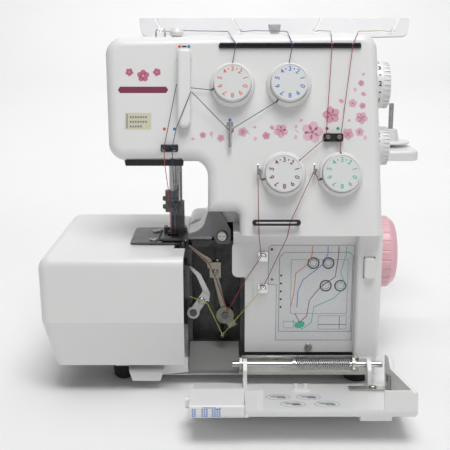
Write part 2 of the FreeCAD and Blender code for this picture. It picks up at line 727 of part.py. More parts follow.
tube_foot = box("tube_guide_foot", (1.6, 85, 0.3), (6.4, 88, 5))
tube = rod("tube_guide_tube", "y", (4, 67.4, 4), 20, 1.5, 0.7)
tube_slot = box("tube_guide_slot", (4.3, 67, 3.7), (6, 88.5, 4.3))
tube_whole = subtract("tube_guide_whole", fuse("tube_guide_sum", [tube, tube_foot]),
                      [tube_slot, rod("tube_guide_bore", "y", (4, 67, 4), 22, 0.7)])
hooks = []
for i, x in enumerate((27, 72.4)):
    base = box(f"hook_base_{i}", (x - 0.6, 47, 0.3), (x + 1.8, 50, 6.6))
    plate = Piece(f"hook_plate_{i}")
    plate.pad("x", x - 1.2, x, [(43.5, 5, 1), (43.5, 9, 1), (54, 9, 1), (54, 5, 1)])
    plate.cut("x", x - 2, x + 1, [(48, 7.4), (48, 10), (49, 10), (49, 7.4)])
    hooks.append(fuse(f"hook_{i}", [base, plate.body]))
face_wires = [place(part, FACE, FACE_TURN) for part in [tube_whole] + hooks]
top_wire = wire("top_wire_guide", [(-57, 30, 288), (-57, 30, 297, 2), (-50, 30, 297, 2), (-50, 36, 297, 2),
                                   (-50, 36, 288)])
node(group("wires", face_wires + [top_wire]), "wire_thread_guides")

slot_rail = Piece("slot_rail")
slot_rail.pad("z", 5.2, 6.4, [(22, 4, 2.2), (22, 9, 2.2), (61, 9, 2.2), (61, 4, 2.2)])
slot_rail.cut("z", 5, 7, [(25, 5.9, 0.5), (25, 7.1, 0.5), (58, 7.1, 0.5), (58, 5.9, 0.5)])
rail_posts = [box(f"slot_post_{i}", (x, 5, 0.3), (x + 2, 8, 5.4)) for i, x in enumerate((22.8, 58.2))]
face_node([fuse("slot_guide_sum", [slot_rail.body] + rail_posts)], "slot_thread_guide")

clips = []
for i, z in enumerate((110.8, 82.7)):
    clip = box(f"clip_base_{i}", (28, -1.3, z - 4), (36, -0.1, z + 4))
    loop = wire(f"clip_loop_{i}", [(30, -1, z + 2), (30, -6, z + 2, 1.5), (34.5, -6, z + 1, 1.5), (34.5, -2.6, z + 1)])
    clips.append(fuse(f"clip_{i}", [clip, loop]))
node(group("clips", clips), "clip_guides")

knob = Piece("pressure_knob_body")
knob.revolve([(0, 281), (4.3, 281), (4.3, 292), (5.6, 292), (5.6, 295), (3.5, 298, 1.5), (0, 298)],
             axis="V_Axis")
node(knob, "pressure_knob", ("presser_x", "presser_y", 0))

# ---------------------------------------------------------------- tension dials

collars, discs = [], []
for number, x, up, notches in DIALS:
    collar = Piece(f"collar_{number}")
    collar.revolve([("spindle_r+0.2", 0.2), (18.4, 0.2), (18.4, 1.4), (16.6, 7.4, 0.4), (15.6, 7.4), (15.6, 1.4),
                    ("spindle_r+0.2", 1.4)], axis="V_Axis")
    cuts = []
    for i, angle in enumerate(notches):
        cut = doc.addObject("Part::Box", f"collar_{number}_notch_{i}")
        cut.Length, cut.Width, cut.Height = 8, 1.6, 6
        turn = FreeCAD.Rotation(V(0, 0, 1), angle)
        cut.Placement = FreeCAD.Placement(turn.multVec(V(13, -0.8, 1.6)), turn)
        cuts.append(cut)
    ring = subtract(f"collar_{number}_cut", collar.body, cuts)
    collars.append(place(ring, on_face(x, up), FACE_TURN))
    for i, low in enumerate((1.6, 2.9)):
        disc = rod(f"disc_{number}_{i}", "z", (0, 0, 0), 0.8, 10.5, "spindle_r+0.1")
        discs.append(place(disc, on_face(x, up, low), FACE_TURN))
    dial = Piece(f"dial_{number}")
    dial.revolve([("spindle_r+0.05", 4.4), ("dial_r", 4.4), ("dial_r", "dial_high-0.8", 0.6),
                  ("dial_r-0.8", "dial_high"), ("dial_r-1.2", "dial_high"), ("dial_r-1.3", "dial_high-0.4"),
                  (0, "dial_high-0.4"), (0, 9), ("spindle_r+0.05", 9)], axis="V_Axis")
    nib = rod(f"dial_{number}_nib", "z", (0, 0, 0), 0.9, 0.55)
    nib.Placement.Base = V(12.4, -6.2, 12.4)
    whole = fuse(f"dial_{number}_sum", [dial.body, nib])
    node(whole, f"tension_dial_{number}", on_face(x, up), FACE_TURN)
node(group("collars", collars), "dial_collars")
node(group("discs", discs), "tension_discs")

# ---------------------------------------------------------------- dials on the right side


def side_dial(label, y, z, radius, foot):
    """A dial on the right side, turning about X; its rim is ribbed for grip."""
    dial = Piece(label + "_body")
    dial.revolve([(0, 0), (radius, 0), (radius, 6.5), (f"{radius}-0.6", 7), (f"{radius}-1.6", 13.2, 1), (0, 13.2)],
                 axis="V_Axis")
    ribs = []
    count = 30
    for i in range(count):
        turn = FreeCAD.Rotation(V(0, 0, 1), 360 * i / count)
        rib = doc.addObject("Part::Box", f"{label}_rib_{i}")
        rib.Length, rib.Width, rib.Height = 2, 0.9, 5
        rib.Placement = FreeCAD.Placement(turn.multVec(V(val(radius) - 2.3, -0.45, 7.4)), turn)
        ribs.append(rib)
    stub = doc.addObject("Part::Cylinder", label + "_stub")
    stub.Radius, stub.Height = 4.5, 9
    place(stub, (0, 0, -8.5))
    whole = fuse(label + "_sum", [dial.body, stub] + ribs)
    node(whole, label, (foot, y, z), TURNS["x"])


side_dial("stitch_length_dial", "length_dial_y", "length_dial_z", 20, 126.8)
side_dial("differential_dial", "ratio_dial_y", "ratio_dial_z", 17, 128.6)

# ---------------------------------------------------------------- drive

shaft = Piece("main_shaft_body")
shaft.revolve([(3, 0), (3, "shaft_r"), (86, "shaft_r"), (86, 26.5), (88, 26.5), (88, 24), (98, 24), (98, 26.5),
               (100, 26.5), (100, "shaft_r"), (152, "shaft_r", 1), (152, 0)])
node(shaft, "main_shaft", ("0", "shaft_y", "shaft_z"))

wheel = Piece("handwheel_body")
wheel.revolve([(134, "shaft_r"), (134, 10), (141, 12, 2), (141, 27, 2), (134, "wheel_r-2.5", 1), (134, "wheel_r", 1),
               (149, "wheel_r", 4), (155, "wheel_r-5", 3), (156, 14, 2), (154.5, 9, 2), (154.5, "shaft_r")])
grips = []
for i in range(24):
    turn = FreeCAD.Rotation(V(1, 0, 0), 15 * i)
    grip = doc.addObject("Part::Cylinder", f"wheel_grip_{i}")
    grip.Radius, grip.Height = 1.3, 15
    grip.Placement = FreeCAD.Placement(turn.multVec(V(133, 0, val("wheel_r") + 0.7)), FreeCAD.Rotation(V(0, 1, 0), 90))
    grips.append(grip)
node(subtract("handwheel_grooved", wheel.body, grips), "handwheel", ("0", "shaft_y", "shaft_z"))

motor_case = rod("motor_case", "x", (26, "motor_y", "motor_z"), 52, "motor_r")
motor_cap = rod("motor_cap", "x", (22, "motor_y", "motor_z"), 60, 14)
motor_feet = box("motor_feet", (34, "motor_y-16", 26.6), (70, "motor_y+16", 34))
motor_bore = rod("motor_bore", "x", (20, "motor_y", "motor_z"), 70, 3.05)
node(subtract("motor_whole", fuse("motor_sum", [motor_case, motor_cap, motor_feet]), [motor_bore]), "motor")

rotor = Piece("motor_pulley_body")
rotor.revolve([(18, 0), (18, 3), (86, 3), (86, 9.5), (88, 9.5), (88, 7.5), (98, 7.5), (98, 9.5), (100, 9.5), (100, 3),
               (102, 3), (102, 0)])
node(rotor, "motor_pulley", ("0", "motor_y", "motor_z"))

# The belt runs straight between the two pulleys and around each.
belt_from = V(0, val("shaft_y"), val("shaft_z"))
belt_to = V(0, val("motor_y"), val("motor_z"))
run = belt_to - belt_from
lean = math.acos((24.1 - 7.6) / run.Length)
along = math.atan2(run.z, run.y)


def belt_loop(grow):
    """The closed outline of the belt around both pulleys."""
    big, small = 24.1 + grow, 7.6 + grow
    touch = []
    for centre, radius in ((belt_from, big), (belt_to, small)):
        for side in (1, -1):
            angle = along + side * lean
            touch.append(centre + V(0, math.cos(angle), math.sin(angle)) * radius)
    back = belt_from - V(0, math.cos(along), math.sin(along)) * big
    front = belt_to + V(0, math.cos(along), math.sin(along)) * small
    return Part.Wire([
        Part.Arc(touch[0], back, touch[1]).toShape(),
        Part.LineSegment(touch[1], touch[3]).toShape(),
        Part.Arc(touch[3], front, touch[2]).toShape(),
        Part.LineSegment(touch[2], touch[0]).toShape(),
    ])


belt = doc.addObject("Part::Feature", "belt_loop")
belt.Shape = Part.Face(belt_loop(2.2)).cut(Part.Face(belt_loop(0))).extrude(V(8.4, 0, 0))
node(belt, "drive_belt", (88.8, "0", 0))

# ---------------------------------------------------------------- stitching area

plate = Piece("needle_plate_body")
plate.pad("z", "plate_low", "plate_top", [(-80, 2.6, 3), (-80, 58, 6), (-34, 58, 2), (-34, 2.6, 1)])
plate.cut("z", 118, 124, [(-57, 8.4, 1), (-57, 46.4, 1), (-51, 46.4, 1), (-51, 8.4, 1)])
plate.cut("z", 118, 124, [(-40.8, 8.4, 1), (-40.8, 46.4, 1), (-35.8, 46.4, 1), (-35.8, 8.4, 1)])
plate.cut("z", 118, 124, [(-49, 15, 0.8), (-49, 21, 0.8), (-42, 21, 0.8), (-42, 15, 0.8)])
plate.cut("z", 118, 124, circles=[(-61, 12, 2.1), (-61, 42, 2.1)])
node(plate, "needle_plate")

dogs = []
for i, (left, right) in enumerate(((-56.4, -51.6), (-40.2, -36.4))):
    dog = Piece(f"feed_dog_{i}")
    teeth = []
    for k in range(16):
        start = 11.6 + 2 * k
        teeth += [(start, "plate_top+0.1"), (start + 1.6, "plate_top-0.7")]
    dog.pad("x", left, right, [(11, 111)] + teeth + [(43.6, 111)])
    dogs.append(dog.body)
node(group("feed_dog_pair", dogs), "feed_dogs")

lower_blade = Piece("lower_blade")
lower_blade.pad("x", -37.6, -36.2, [(-6, 84), (-6, 119.5), (1.8, 121.4), (1.8, 84)])
blade_carrier = box("lower_knife_carrier", (-41.5, -5, 86), (-37.5, 7.6, 100))
carrier_arm = box("lower_knife_arm", (-41.5, 1, 92), (-38.5, 25, 100))
carrier_foot = box("lower_knife_foot", (-41.5, 19.5, 86), (-33.0, 26, 103.8))
clamp_screw = pan_screw("lower_knife_screw", TO_FRONT, (-39.5, -4.8, 93), 2.6, 1.8)
node(fuse("lower_knife_sum", [lower_blade.body, blade_carrier, carrier_arm, carrier_foot, clamp_screw]), "lower_knife")

upper_blade = Piece("upper_blade")
upper_blade.pad("x", -36.0, -34.4, [(-5, 100), (-5, 124.5), (-1, 126.5), (1.6, 126.5), (1.6, 100)])
knife_arm = box("upper_knife_arm", (-36.0, -5, 76), (-30, 1.6, 104))
knife_screw = pan_screw("upper_knife_screw", TO_FRONT, (-33.2, -4.8, 96), 2.4, 1.6)
node(fuse("upper_knife_sum", [upper_blade.body, knife_arm, knife_screw]), "upper_knife")

node(rod("needle_bar_rod", "z", ("needle_x", "needle_y", 160), 84, "needle_bar_r"), "needle_bar")
clamp = Piece("needle_clamp_body")
clamp.pad("z", 146, 164, [(-50.6, 13.4, 2), (-50.6, 22.4, 2), (-39.6, 22.4, 2), (-39.6, 13.4, 2)])
clamp.cut("z", 158, 165, [(-53, 10), (-53, 14.4), (-38, 14.4), (-38, 10)])
clamp_parts = [clamp.body]
for name, at, turn in (
    ("clamp_screw_low", (-50.4, "needle_y", 150), TO_LEFT),
    ("clamp_screw_high", (-50.4, "needle_y", 157), TO_LEFT),
    ("clamp_screw_front", (-46.5, 13.6, 153), TO_FRONT),
    ("clamp_screw_front_two", (-42.6, 13.6, 150), TO_FRONT),
):
    clamp_parts.append(pan_screw(name, turn, at, 2.1, 2.6))
clamp_holes = [rod("clamp_bore", "z", ("needle_x", "needle_y", 160), 5, "needle_bar_r-0.02")]
clamp_holes += [rod(f"clamp_needle_hole_{i}", "z", (x, "needle_y", 145), 12, 0.98) for i, x in enumerate((-46.4, -43))]
node(subtract("needle_clamp_whole", fuse("needle_clamp_sum", clamp_parts), clamp_holes), "needle_clamp")

pins = []
for i, x in enumerate((-46.4, -43)):
    low = 123 + 1.2 * i
    needle = Piece(f"needle_{i}")
    needle.revolve([(0, low), (0.35, low + 2.5), (0.45, low + 8), (0.45, 146), (1, 148.5), (1, 156.8), (0, 156.8)],
                   axis="V_Axis")
    eye = box(f"needle_{i}_eye", (-0.2, -1, low + 4), (0.2, 1, low + 5.6))
    pins.append(place(subtract(f"needle_{i}_cut", needle.body, [eye]), (x, "needle_y", 0)))
node(group("needle_pair", pins), "needles")

node(rod("presser_bar_rod", "z", ("presser_x", "presser_y", 144), 112, "presser_bar_r"), "presser_bar")
foot = Piece("presser_foot_sole")
foot.pad("z", "plate_top+0.25", "plate_top+3", [(-54, 6, 1), (-54, 47, 2), (-33.6, 47, 2), (-33.6, 2.6, 1),
         (-37.5, 2.6, 1), (-37.5, 6, 0.5)])
foot.cut("z", 120, 128, [(-49.4, 13.5, 1), (-49.4, 22.5, 1), (-40.2, 22.5, 1), (-40.2, 13.5, 1)])
foot.cut("x", -60, -30, [(0, 121.5), (9, 121.5), (9, 122.2), (5.5, 123), (0, 124.6)])
ankle = Piece("presser_foot_ankle")
ankle.pad("x", -47, -35.4, [("presser_y-6", 124.5), ("presser_y-6", 131, 2), ("presser_y-4.5", 140, 2),
          ("presser_y-4.5", 152), ("presser_y+4.5", 152), ("presser_y+4.5", 140, 2), ("presser_y+7", 131, 2),
          ("presser_y+7", 124.5)])
foot_screw = pan_screw("presser_foot_screw", TO_LEFT, (-46.8, "presser_y", 146), 3.2, 3)
foot_hinge = rod("presser_foot_hinge", "x", (-53, "presser_y", 127), 19, 1.6)
cheeks = [box(f"presser_cheek_{i}", (x, "presser_y-4", 124.8), (x + 3, "presser_y+4", 129.4))
          for i, x in enumerate((-53, -36.5))]
foot_bore = rod("presser_foot_bore", "z", ("presser_x", "presser_y", 143.9), 12, "presser_bar_r-0.02")
foot_sum = fuse("presser_foot_sum", [foot.body, ankle.body, foot_screw, foot_hinge] + cheeks)
node(subtract("presser_foot_whole", foot_sum, [foot_bore]), "presser_foot")

lever = Piece("presser_lifter_arm")
lever.pad("y", 127, 134, [(-6, -7, 5), (-6, 7, 5), (8, 7, 5), (40, -18, 6), (36, -28, 6), (28, -26, 4)])
lever_hub = rod("presser_lifter_hub", "y", (0, 112, 0), 15.5, 4)
node(fuse("presser_lifter_sum", [lever.body, lever_hub]), "presser_lifter", ("lifter_x", 0, "lifter_z"))

# ---------------------------------------------------------------- loopers


def bar_between(name, start, end, low, high, half):
    """A flat bar in the XZ plane from start to end, half its width to each side, between two Y levels."""
    a, b = V(start[0], start[1], 0), V(end[0], end[1], 0)
    along_bar = (b - a).normalize()
    aside = V(-along_bar.y, along_bar.x, 0) * half
    corners_of = [a - aside, a + aside, b + aside, b - aside]
    bar = Piece(name)
    bar.pad("y", low, high, [(p.x, p.y) for p in corners_of])
    return bar.body


upper_arm = Piece("upper_looper_blade")
upper_arm.pad("y", 5, 8, [(-10, 104), (-13, 108, 3), (-22, 113.4, 6), (-30, 119.4), (-31.2, 118.4), (-23, 110.9, 5),
              (-15, 103, 3), (-15, 99, 1), (-10, 99, 1)])
upper_parts = [
    upper_arm.body,
    box("upper_looper_block", (-13, 3.5, 91), (-3.5, 12, 104.5)),
    bar_between("upper_looper_rod", (-9, 96), (-1, 62), 5, 9.5, 2.2),
    rod("upper_looper_hub", "y", ("upper_pivot_x", 4, "upper_pivot_z"), 12, 7.5),
    bar_between("upper_looper_crank", (0, 57), (7, 44), 12, 16, 3.6),
]
upper_parts.append(pan_screw("upper_looper_screw_front", TO_FRONT, (-8.2, 3.7, 96), 2.6, 2))
upper_parts.append(pan_screw("upper_looper_screw_top", TURNS["z"], (-6.6, 8, 104.3), 2.3, 2.4))
upper_bore = rod("upper_looper_bore", "y", ("upper_pivot_x", 0, "upper_pivot_z"), 20, 3.06)
node(subtract("upper_looper_whole", fuse("upper_looper_sum", upper_parts), [upper_bore]), "upper_looper")

lower_arm = Piece("lower_looper_blade")
lower_arm.pad("y", 11, 13.4, [(-13.8, 67), (-13, 75, 3), (-21, 92, 4), (-32.2, 101.5), (-33, 100.4), (-24.4, 90, 3),
              (-19.5, 78, 3), (-20.5, 68)])
lower_parts = [
    lower_arm.body,
    bar_between("lower_looper_lever", (-27.5, 57), (-16, 74.5), 10.5, 16, 3.8),
    rod("lower_looper_hub", "y", ("lower_pivot_x", 10.5, "lower_pivot_z"), 9, 5.4),
]
lower_parts.append(pan_screw("lower_looper_screw", TO_FRONT, (-20.4, 10.7, 68), 3, 2))
lower_bore = rod("lower_looper_bore", "y", ("lower_pivot_x", 5, "lower_pivot_z"), 20, 3.06)
node(subtract("lower_looper_whole", fuse("lower_looper_sum", lower_parts), [lower_bore]), "lower_looper")

# ---------------------------------------------------------------- looper cover and its hinge

# The cover is drawn closed, with its hinge at the origin, and then swung open to its rest position.
shell = Piece("cover_front")
shell.pad("x", 14.6, 136, [(-20, -4), (-20, 102, 6), (0, 102), (0, 99.6), (-17.6, 99.6, 3.6), (-17.6, -4)])
right_wall = Piece("cover_right_wall")
right_wall.pad("x", 135.4, 140.2, [(-20, -4, 2), (-20, 102, 6), (0, 102, 2), (0, 20, 6), (8, 12, 5), (8, -4, 4)])
right_wall.fillet(2.6, lambda e: middle(e).x > 140.19)
left_rib = box("cover_left_rib", (14.6, -19.5, 16), (17, -8, 101))
lugs = []
for i, (low, high) in enumerate(((15.2, 18.4), (119, 122.4))):
    ear = Piece(f"cover_ear_{i}")
    ear.pad("x", low, high, [(-19, -4), (-19, 9), (-4, 9, 3), (4.6, 4, 3), (4.6, -4.4, 3), (-6, -4.4)])
    lugs.append(ear.body)
grip = Piece("cover_grip")
grip.pad("x", 99, 122, [(-19.4, 84), (-24, 88, 3), (-24, 94, 3), (-19.4, 98)])
studs = [rod(f"cover_stud_{i}", "y", (x, -17.8, 20), 5.5, 1.8) for i, x in enumerate((58, 66))]
pads = [box("cover_stud_base", (55, -17.7, 17.5), (69, -16, 22.5))]
cover_bore = rod("cover_bore", "x", (14, 0, 0), 115, "hinge_shaft_r+0.08")
window = Piece("cover_window")
window.pad("y", -13.5, 2, [(21, 103), (32, 97.5), (115.6, 97.5), (115.6, 103)])
cover_sum = fuse("cover_sum", [shell.body, right_wall.body, left_rib, grip.body] + lugs + studs + pads)
cover_cut = subtract("cover_whole", cover_sum, [cover_bore, window.body])
OPEN = FreeCAD.Rotation(V(1, 0, 0), val("cover_open"))
node(cover_cut, "looper_cover", ("0", "hinge_y", "hinge_z"), OPEN)

chart = Piece("chart_wedge")
chart.pad("x", -26, 14.3, [(-20, -4), (-20, 102, 3), (-10.8, 102, 2), (-4.6, 74, 3), (-4.6, 67, 3), (-17, 63), (-17, -4)])
chart_hollow = Piece("chart_hollow")
chart_hollow.pad("x", -23.6, 11.9, [(-17.6, 69), (-17.6, 99, 1), (-12.8, 99, 1), (-7.2, 73.6, 2), (-7.2, 69)])
hook = Piece("chart_hook")
hook.pad("x", -30, -25, [(-19, 66), (-19, 78, 3), (-10, 78, 3), (-10, 74), (-15, 72), (-15, 66)])
chart_sum = subtract("chart_whole", fuse("chart_sum", [chart.body, hook.body]), [chart_hollow.body])
node(chart_sum, "cover_chart_box", ("0", "hinge_y", "hinge_z"), OPEN)

latch = Piece("latch_plate_body")
latch.pad("y", -17.4, -16, [(102, 11, 2), (102, 24, 2), (135, 24, 2), (135, 11, 2)])
latch_bend = box("latch_bend", (133.5, -17.4, 12), (135, -6, 23))
latch_screw = pan_screw("latch_screw", TURNS["y"], (121.5, -16.1, 17.5), 3.2, 2)
latch_hole = rod("latch_hole", "x", (132, -11, 17.5), 4, 2)
latch_whole = subtract("latch_cut", fuse("latch_sum", [latch.body, latch_bend, latch_screw]), [latch_hole])
node(latch_whole, "latch_plate", ("0", "hinge_y", "hinge_z"), OPEN)

pin_shaft = Piece("hinge_shaft_body")
pin_shaft.revolve([(0, 0), (0, "hinge_shaft_r", 0.5), (51, "hinge_shaft_r"), (51, 4.6), (53.4, 4.6),
                   (53.4, "hinge_shaft_r"), (126.5, "hinge_shaft_r", 0.5), (126.5, 0)])
node(pin_shaft, "hinge_shaft", (6, "hinge_y", "hinge_z"))

bracket = Piece("hinge_bracket_plate")
bracket.pad("y", -13.6, -12.2, [(12.2, 12, 1), (12.2, 27, 1), (114, 27, 1), (114, 12, 1)])
ears = []
for i, x in enumerate((12.2, 107)):
    ear = Piece(f"bracket_ear_{i}")
    ear.pad("x", x, x + 2.4, [(-13, 15), (-20, 15.5, 3), (-25.5, 19, 3), (-25.5, 25, 3), (-20, 28.5, 3), (-13, 27)])
    ears.append(ear.body)
bracket_bore = rod("bracket_bore", "x", (8, "hinge_y", "hinge_z"), 110, "hinge_shaft_r+0.08")
node(subtract("bracket_whole", fuse("bracket_sum", [bracket.body] + ears), [bracket_bore]), "hinge_bracket")

spring = doc.addObject("Part::Feature", "spring_coil")
helix = Part.makeHelix(1.8, 46, 4.2)
ring = Part.Wire([Part.Circle(V(4.2, 0, 0), V(0, 1, 0), 0.5).toShape()])
spring.Shape = helix.makePipeShell([ring], True, True)
spring_set = group("spring_set", [spring])
node(spring_set, "hinge_spring", (60, "hinge_y", "hinge_z"), TURNS["x"])

# ---------------------------------------------------------------- cloth plate


def cloth_block(name, inset):
    """The outside (inset 0) or the hollow (inset 1) of the swinging cloth plate."""
    w = f"{inset}*wall"
    beyond = 6 * inset
    block = Piece(name)
    block.pad("y", f"cloth_front+{w}", f"cloth_back-{w}", [
        (f"cloth_left+{w}", f"cloth_top-{w}", f"10-{w}"),
        (f"cloth_left+1+{w}", "66"),
        (f"cloth_left+10+{w}", f"cloth_low-{beyond}"),
        (f"cloth_right+{beyond}", f"cloth_low-{beyond}"),
        (f"cloth_right+{beyond}", f"cloth_top-{w}"),
    ])
    front, back = val(f"cloth_front+{w}"), val(f"cloth_back-{w}")
    block.cut("x", -160, -20, [(front - 5, 66), (front, 66), (front + 10, 20), (front - 5, 20)])
    block.cut("x", -160, -20, [(back + 5, 66), (back, 66), (back - 8, 20), (back + 5, 20)])
    top = val(f"cloth_top-{w}") - 0.1

    def rim(edge):
        here = middle(edge)
        rise = abs(edge.Vertexes[0].Z - edge.Vertexes[-1].Z)
        return here.x < -60 and (rise > 5 or (runs(edge, "x") and here.z > top))

    block.fillet(f"8-{w}", rim)
    return block.body


cloth_cuts = [
    cloth_block("cloth_hollow", 1),
    box("cloth_notch", (-72, 1.6, 110), (-42, 50, 125)),
    box("cloth_knife_notch", (-42.5, -8, 110), (-20, 50, 125)),
    box("cloth_corner", (-46, 113.5, 20), (-20, 140, 125)),
]
cloth_shell = subtract("cloth_shell", cloth_block("cloth_outside", 0), cloth_cuts)
cloth_knuckles = []
for low in ("lug_low+5.6", "lug_high+5.6"):
    knuckle = rod(f"cloth_knuckle_{low[4:8]}", "z", ("cloth_pivot_x", "cloth_pivot_y", low), 5.4, 3.9)
    arm = box(f"cloth_knuckle_arm_{low[4:8]}", (-52, 118.2, low), (-38, 123.8, f"{low}+5.4"))
    cloth_knuckles += [knuckle, arm]
knuckle_post = box("cloth_knuckle_post", (-52, 116, 40), (-47, 126, 110))
pivot_bore = rod("cloth_pivot_bore", "z", ("cloth_pivot_x", "cloth_pivot_y", 30), 85, 1.96)
cloth_sum = fuse("cloth_sum", [cloth_shell, knuckle_post] + cloth_knuckles)
node(subtract("cloth_whole", cloth_sum, [pivot_bore]), "cloth_plate")

# ---------------------------------------------------------------- spool stand and pole

stand = Piece("spool_tray")
stand.pad("z", "tray_low", "tray_low+10", [("tray_left", "tray_front", 12), ("tray_left", "tray_back", 20),
          ("tray_right", "tray_back", 20), ("tray_right", "tray_front", 12)])
stand.fillet(3, lambda e: middle(e).z > val("tray_low+9.9"))
stand.cut("z", "tray_low-1", "tray_low+7.4", [("tray_left+2.6", "tray_front+2.6", 10),
          ("tray_left+2.6", "tray_back-2.6", 17.4), ("tray_right-2.6", "tray_back-2.6", 17.4),
          ("tray_right-2.6", "tray_front+2.6", 10)])
stand_arm = Piece("spool_arm")
stand_arm.pad("z", 150, "tray_low+8", [(22, "casing_back+0.3"), (22, 156, 3), (72, 156, 3), (72, "casing_back+0.3")])
SPOOLS = [(-76, 190), (6, 190), (88, 190), (172, 190)]
sockets = [rod(f"spool_socket_{i}", "z", (x, y, "tray_low+1"), 12, 6) for i, (x, y) in enumerate(SPOOLS)]
stand_cuts = [rod("pole_bore", "z", ("pole_x", "pole_y", 149), 40, 5.98)]
stand_cuts += [rod(f"spool_bore_{i}", "z", (x, y, "tray_low+2"), 14, 2.98) for i, (x, y) in enumerate(SPOOLS)]
node(subtract("stand_whole", fuse("stand_sum", [stand.body, stand_arm.body] + sockets), stand_cuts), "spool_stand")
spool_pins = []
for i, (x, y) in enumerate(SPOOLS):
    spool_pin = Piece(f"spool_pin_{i}")
    spool_pin.revolve([(0, "tray_low+2"), (3, "tray_low+2"), (3, 196.2), ("spool_pin_r", 196.2),
                       ("spool_pin_r", 222), (0, 222)], axis="V_Axis")
    spool_pins.append(place(spool_pin.body, (x, y, 0)))
node(group("pins", spool_pins), "spool_pins")
cones = []
for i, (x, y) in enumerate(SPOOLS):
    cone = Piece(f"spool_cone_{i}")
    cone.revolve([(3.1, 181.2), (20, 181.2, 1), (20, 183.4, 1), (9, 184), (6.5, 196, 1), (3.1, 196)], axis="V_Axis")
    cones.append(place(cone.body, (x, y, 0)))
node(group("cones", cones), "spool_discs")

node(rod("pole_outer_tube", "z", ("pole_x", "pole_y", 150), 135, 6, 4.55), "pole_outer")
node(rod("pole_middle_tube", "z", ("pole_x", "pole_y", 152), 135.5, 4.5, 3.05), "pole_middle")
node(rod("pole_top_rod", "z", ("pole_x", "pole_y", 154), 145, 3), "pole_top")

guide = Piece("guide_bar_plate")
guide.pad("z", -1.2, 1.2, [(-126, -7, 7), (-129, 12, 2), (129, 12, 2), (126, -7, 7), (30, -10, 6), (-30, -10, 6)])
BAR_SLOTS = (-107, -33, 38, 112)
for x in BAR_SLOTS:
    side = 1 if x > 0 else -1
    a, b = x, x + side * 7
    low, high = min(a, b), max(a, b)
    guide.cut("z", -2, 2, [(a - 0.9, -2), (a + 0.9, -2), (b + 0.9, 13), (b - 0.9, 13)])
    guide.cut("z", -2, 2, circles=[(a, -2, 2.2)])
for i, x in enumerate((-18, -12, 10.4, 16.4)):
    guide.pad("x", x, x + 1.6, [(-5, -3.5), (-5, 0), (9, 0), (9, -3.5)])
place(guide.body, (0, 0, 0), FreeCAD.Rotation(V(1, 0, 0), val("bar_tilt")))
bar_hub = rod("guide_bar_hub", "z", (0, 1.5, -8), 13, 6)
hub_bore = rod("guide_bar_bore", "z", (0, 1.5, -9), 11, 2.98)
bar_whole = subtract("guide_bar_whole", fuse("guide_bar_sum", [guide.body, bar_hub]), [hub_bore])
node(bar_whole, "thread_guide_bar", ("pole_x", "pole_y-1.5", "bar_z"))

# ---------------------------------------------------------------- electrical parts on the right side

rocker_frame = box("switch_frame", (125.5, "switch_y-6", "switch_z-9"), (134.7, "switch_y+6", "switch_z+9"))
rocker_hole = box("switch_recess", (127.5, "switch_y-4.4", "switch_z-7.4"), (135.5, "switch_y+4.4", "switch_z+7.4"))
housing = subtract("switch_housing", rocker_frame, [rocker_hole])
rocker = Piece("rocker")
rocker.pad("y", -4.1, 4.1, [(-5.4, -3), (1.4, -7), (2.6, -6.6, 0.6), (0.8, 0, 3), (0.2, 7), (-5.4, 3)])
node(rocker, "power_switch", (134.7, "switch_y", "switch_z"))

inlet = Piece("inlet_body")
inlet.pad("x", 121.5, 133.9, [("inlet_y-10", "inlet_z-7", 2), ("inlet_y-10", "inlet_z+7", 2),
          ("inlet_y+10", "inlet_z+7", 2), ("inlet_y+10", "inlet_z-7", 2)])
inlet.cut("x", 124.5, 134.5, [("inlet_y-7.5", "inlet_z-4.5", 2), ("inlet_y-7.5", "inlet_z+4.5", 2),
          ("inlet_y+7.5", "inlet_z+4.5", 2), ("inlet_y+7.5", "inlet_z-4.5", 2)])
contacts = [rod(f"inlet_pin_{i}", "x", (123.5, f"inlet_y{y}", "inlet_z"), 8, 1.2) for i, y in enumerate(("-4", "+0", "+4"))]
bridge = box("socket_bridge", (123.5, "switch_y", "switch_z-6"), (125.9, "inlet_y", "switch_z+6"))
node(fuse("socket_sum", [inlet.body, housing, bridge] + contacts), "power_socket")

# ---------------------------------------------------------------- screws

screws = [
    pan_screw("gusset_screw", TO_FRONT, (-2.6, 22.9, 123), 4.8, 2.6, 2.8),
    pan_screw("plate_screw_front", TURNS["z"], (-61, 12, "plate_top"), 3.4, 1.2, 6),
    pan_screw("plate_screw_back", TURNS["z"], (-61, 42, "plate_top"), 3.4, 1.2, 6),
    pan_screw("panel_screw", TO_FRONT, (72, -0.1, 29.8), 3.4, 1.4, 2),
    pan_screw("back_screw_1", TURNS["y"], (-80, "casing_back+0.1", 240), 3.6, 1.8, 2),
    pan_screw("back_screw_2", TURNS["y"], (112, "casing_back+0.1", 270), 3.6, 1.8, 2),
    pan_screw("back_screw_3", TURNS["y"], (-20, "casing_back+0.1", 40), 3.6, 1.8, 2),
    pan_screw("back_screw_4", TURNS["y"], (120, "casing_back+0.1", 40), 3.6, 1.8, 2),
]
node(group("screws", screws), "casing_screws")

# ---------------------------------------------------------------- threads

THREAD_R = 0.3


def thread(name, points):
    """A taut thread through points in the bench frame, with a small bend at each."""
    return swept(name, [(*p, 0.7) for p in points], THREAD_R)


def face_point(x, up, out):
    """A bench point given in the frame of the face."""
    return tuple(val(c) for c in on_face(x, up, out))


def bar_run(index):
    """Where a thread leaves an eyelet of the thread guide bar and lies across the casing top."""
    x, end = val("pole_x") + BAR_SLOTS[index], THREAD_X[index]
    return [(x, val("pole_y-1.5") - 1, val("bar_z-1.7")), (end + (x - end) * 0.7, 100, 295.6),
            (end + (x - end) * 0.1, 25, 295.4), face_point(end, 151.9, 3.4)]


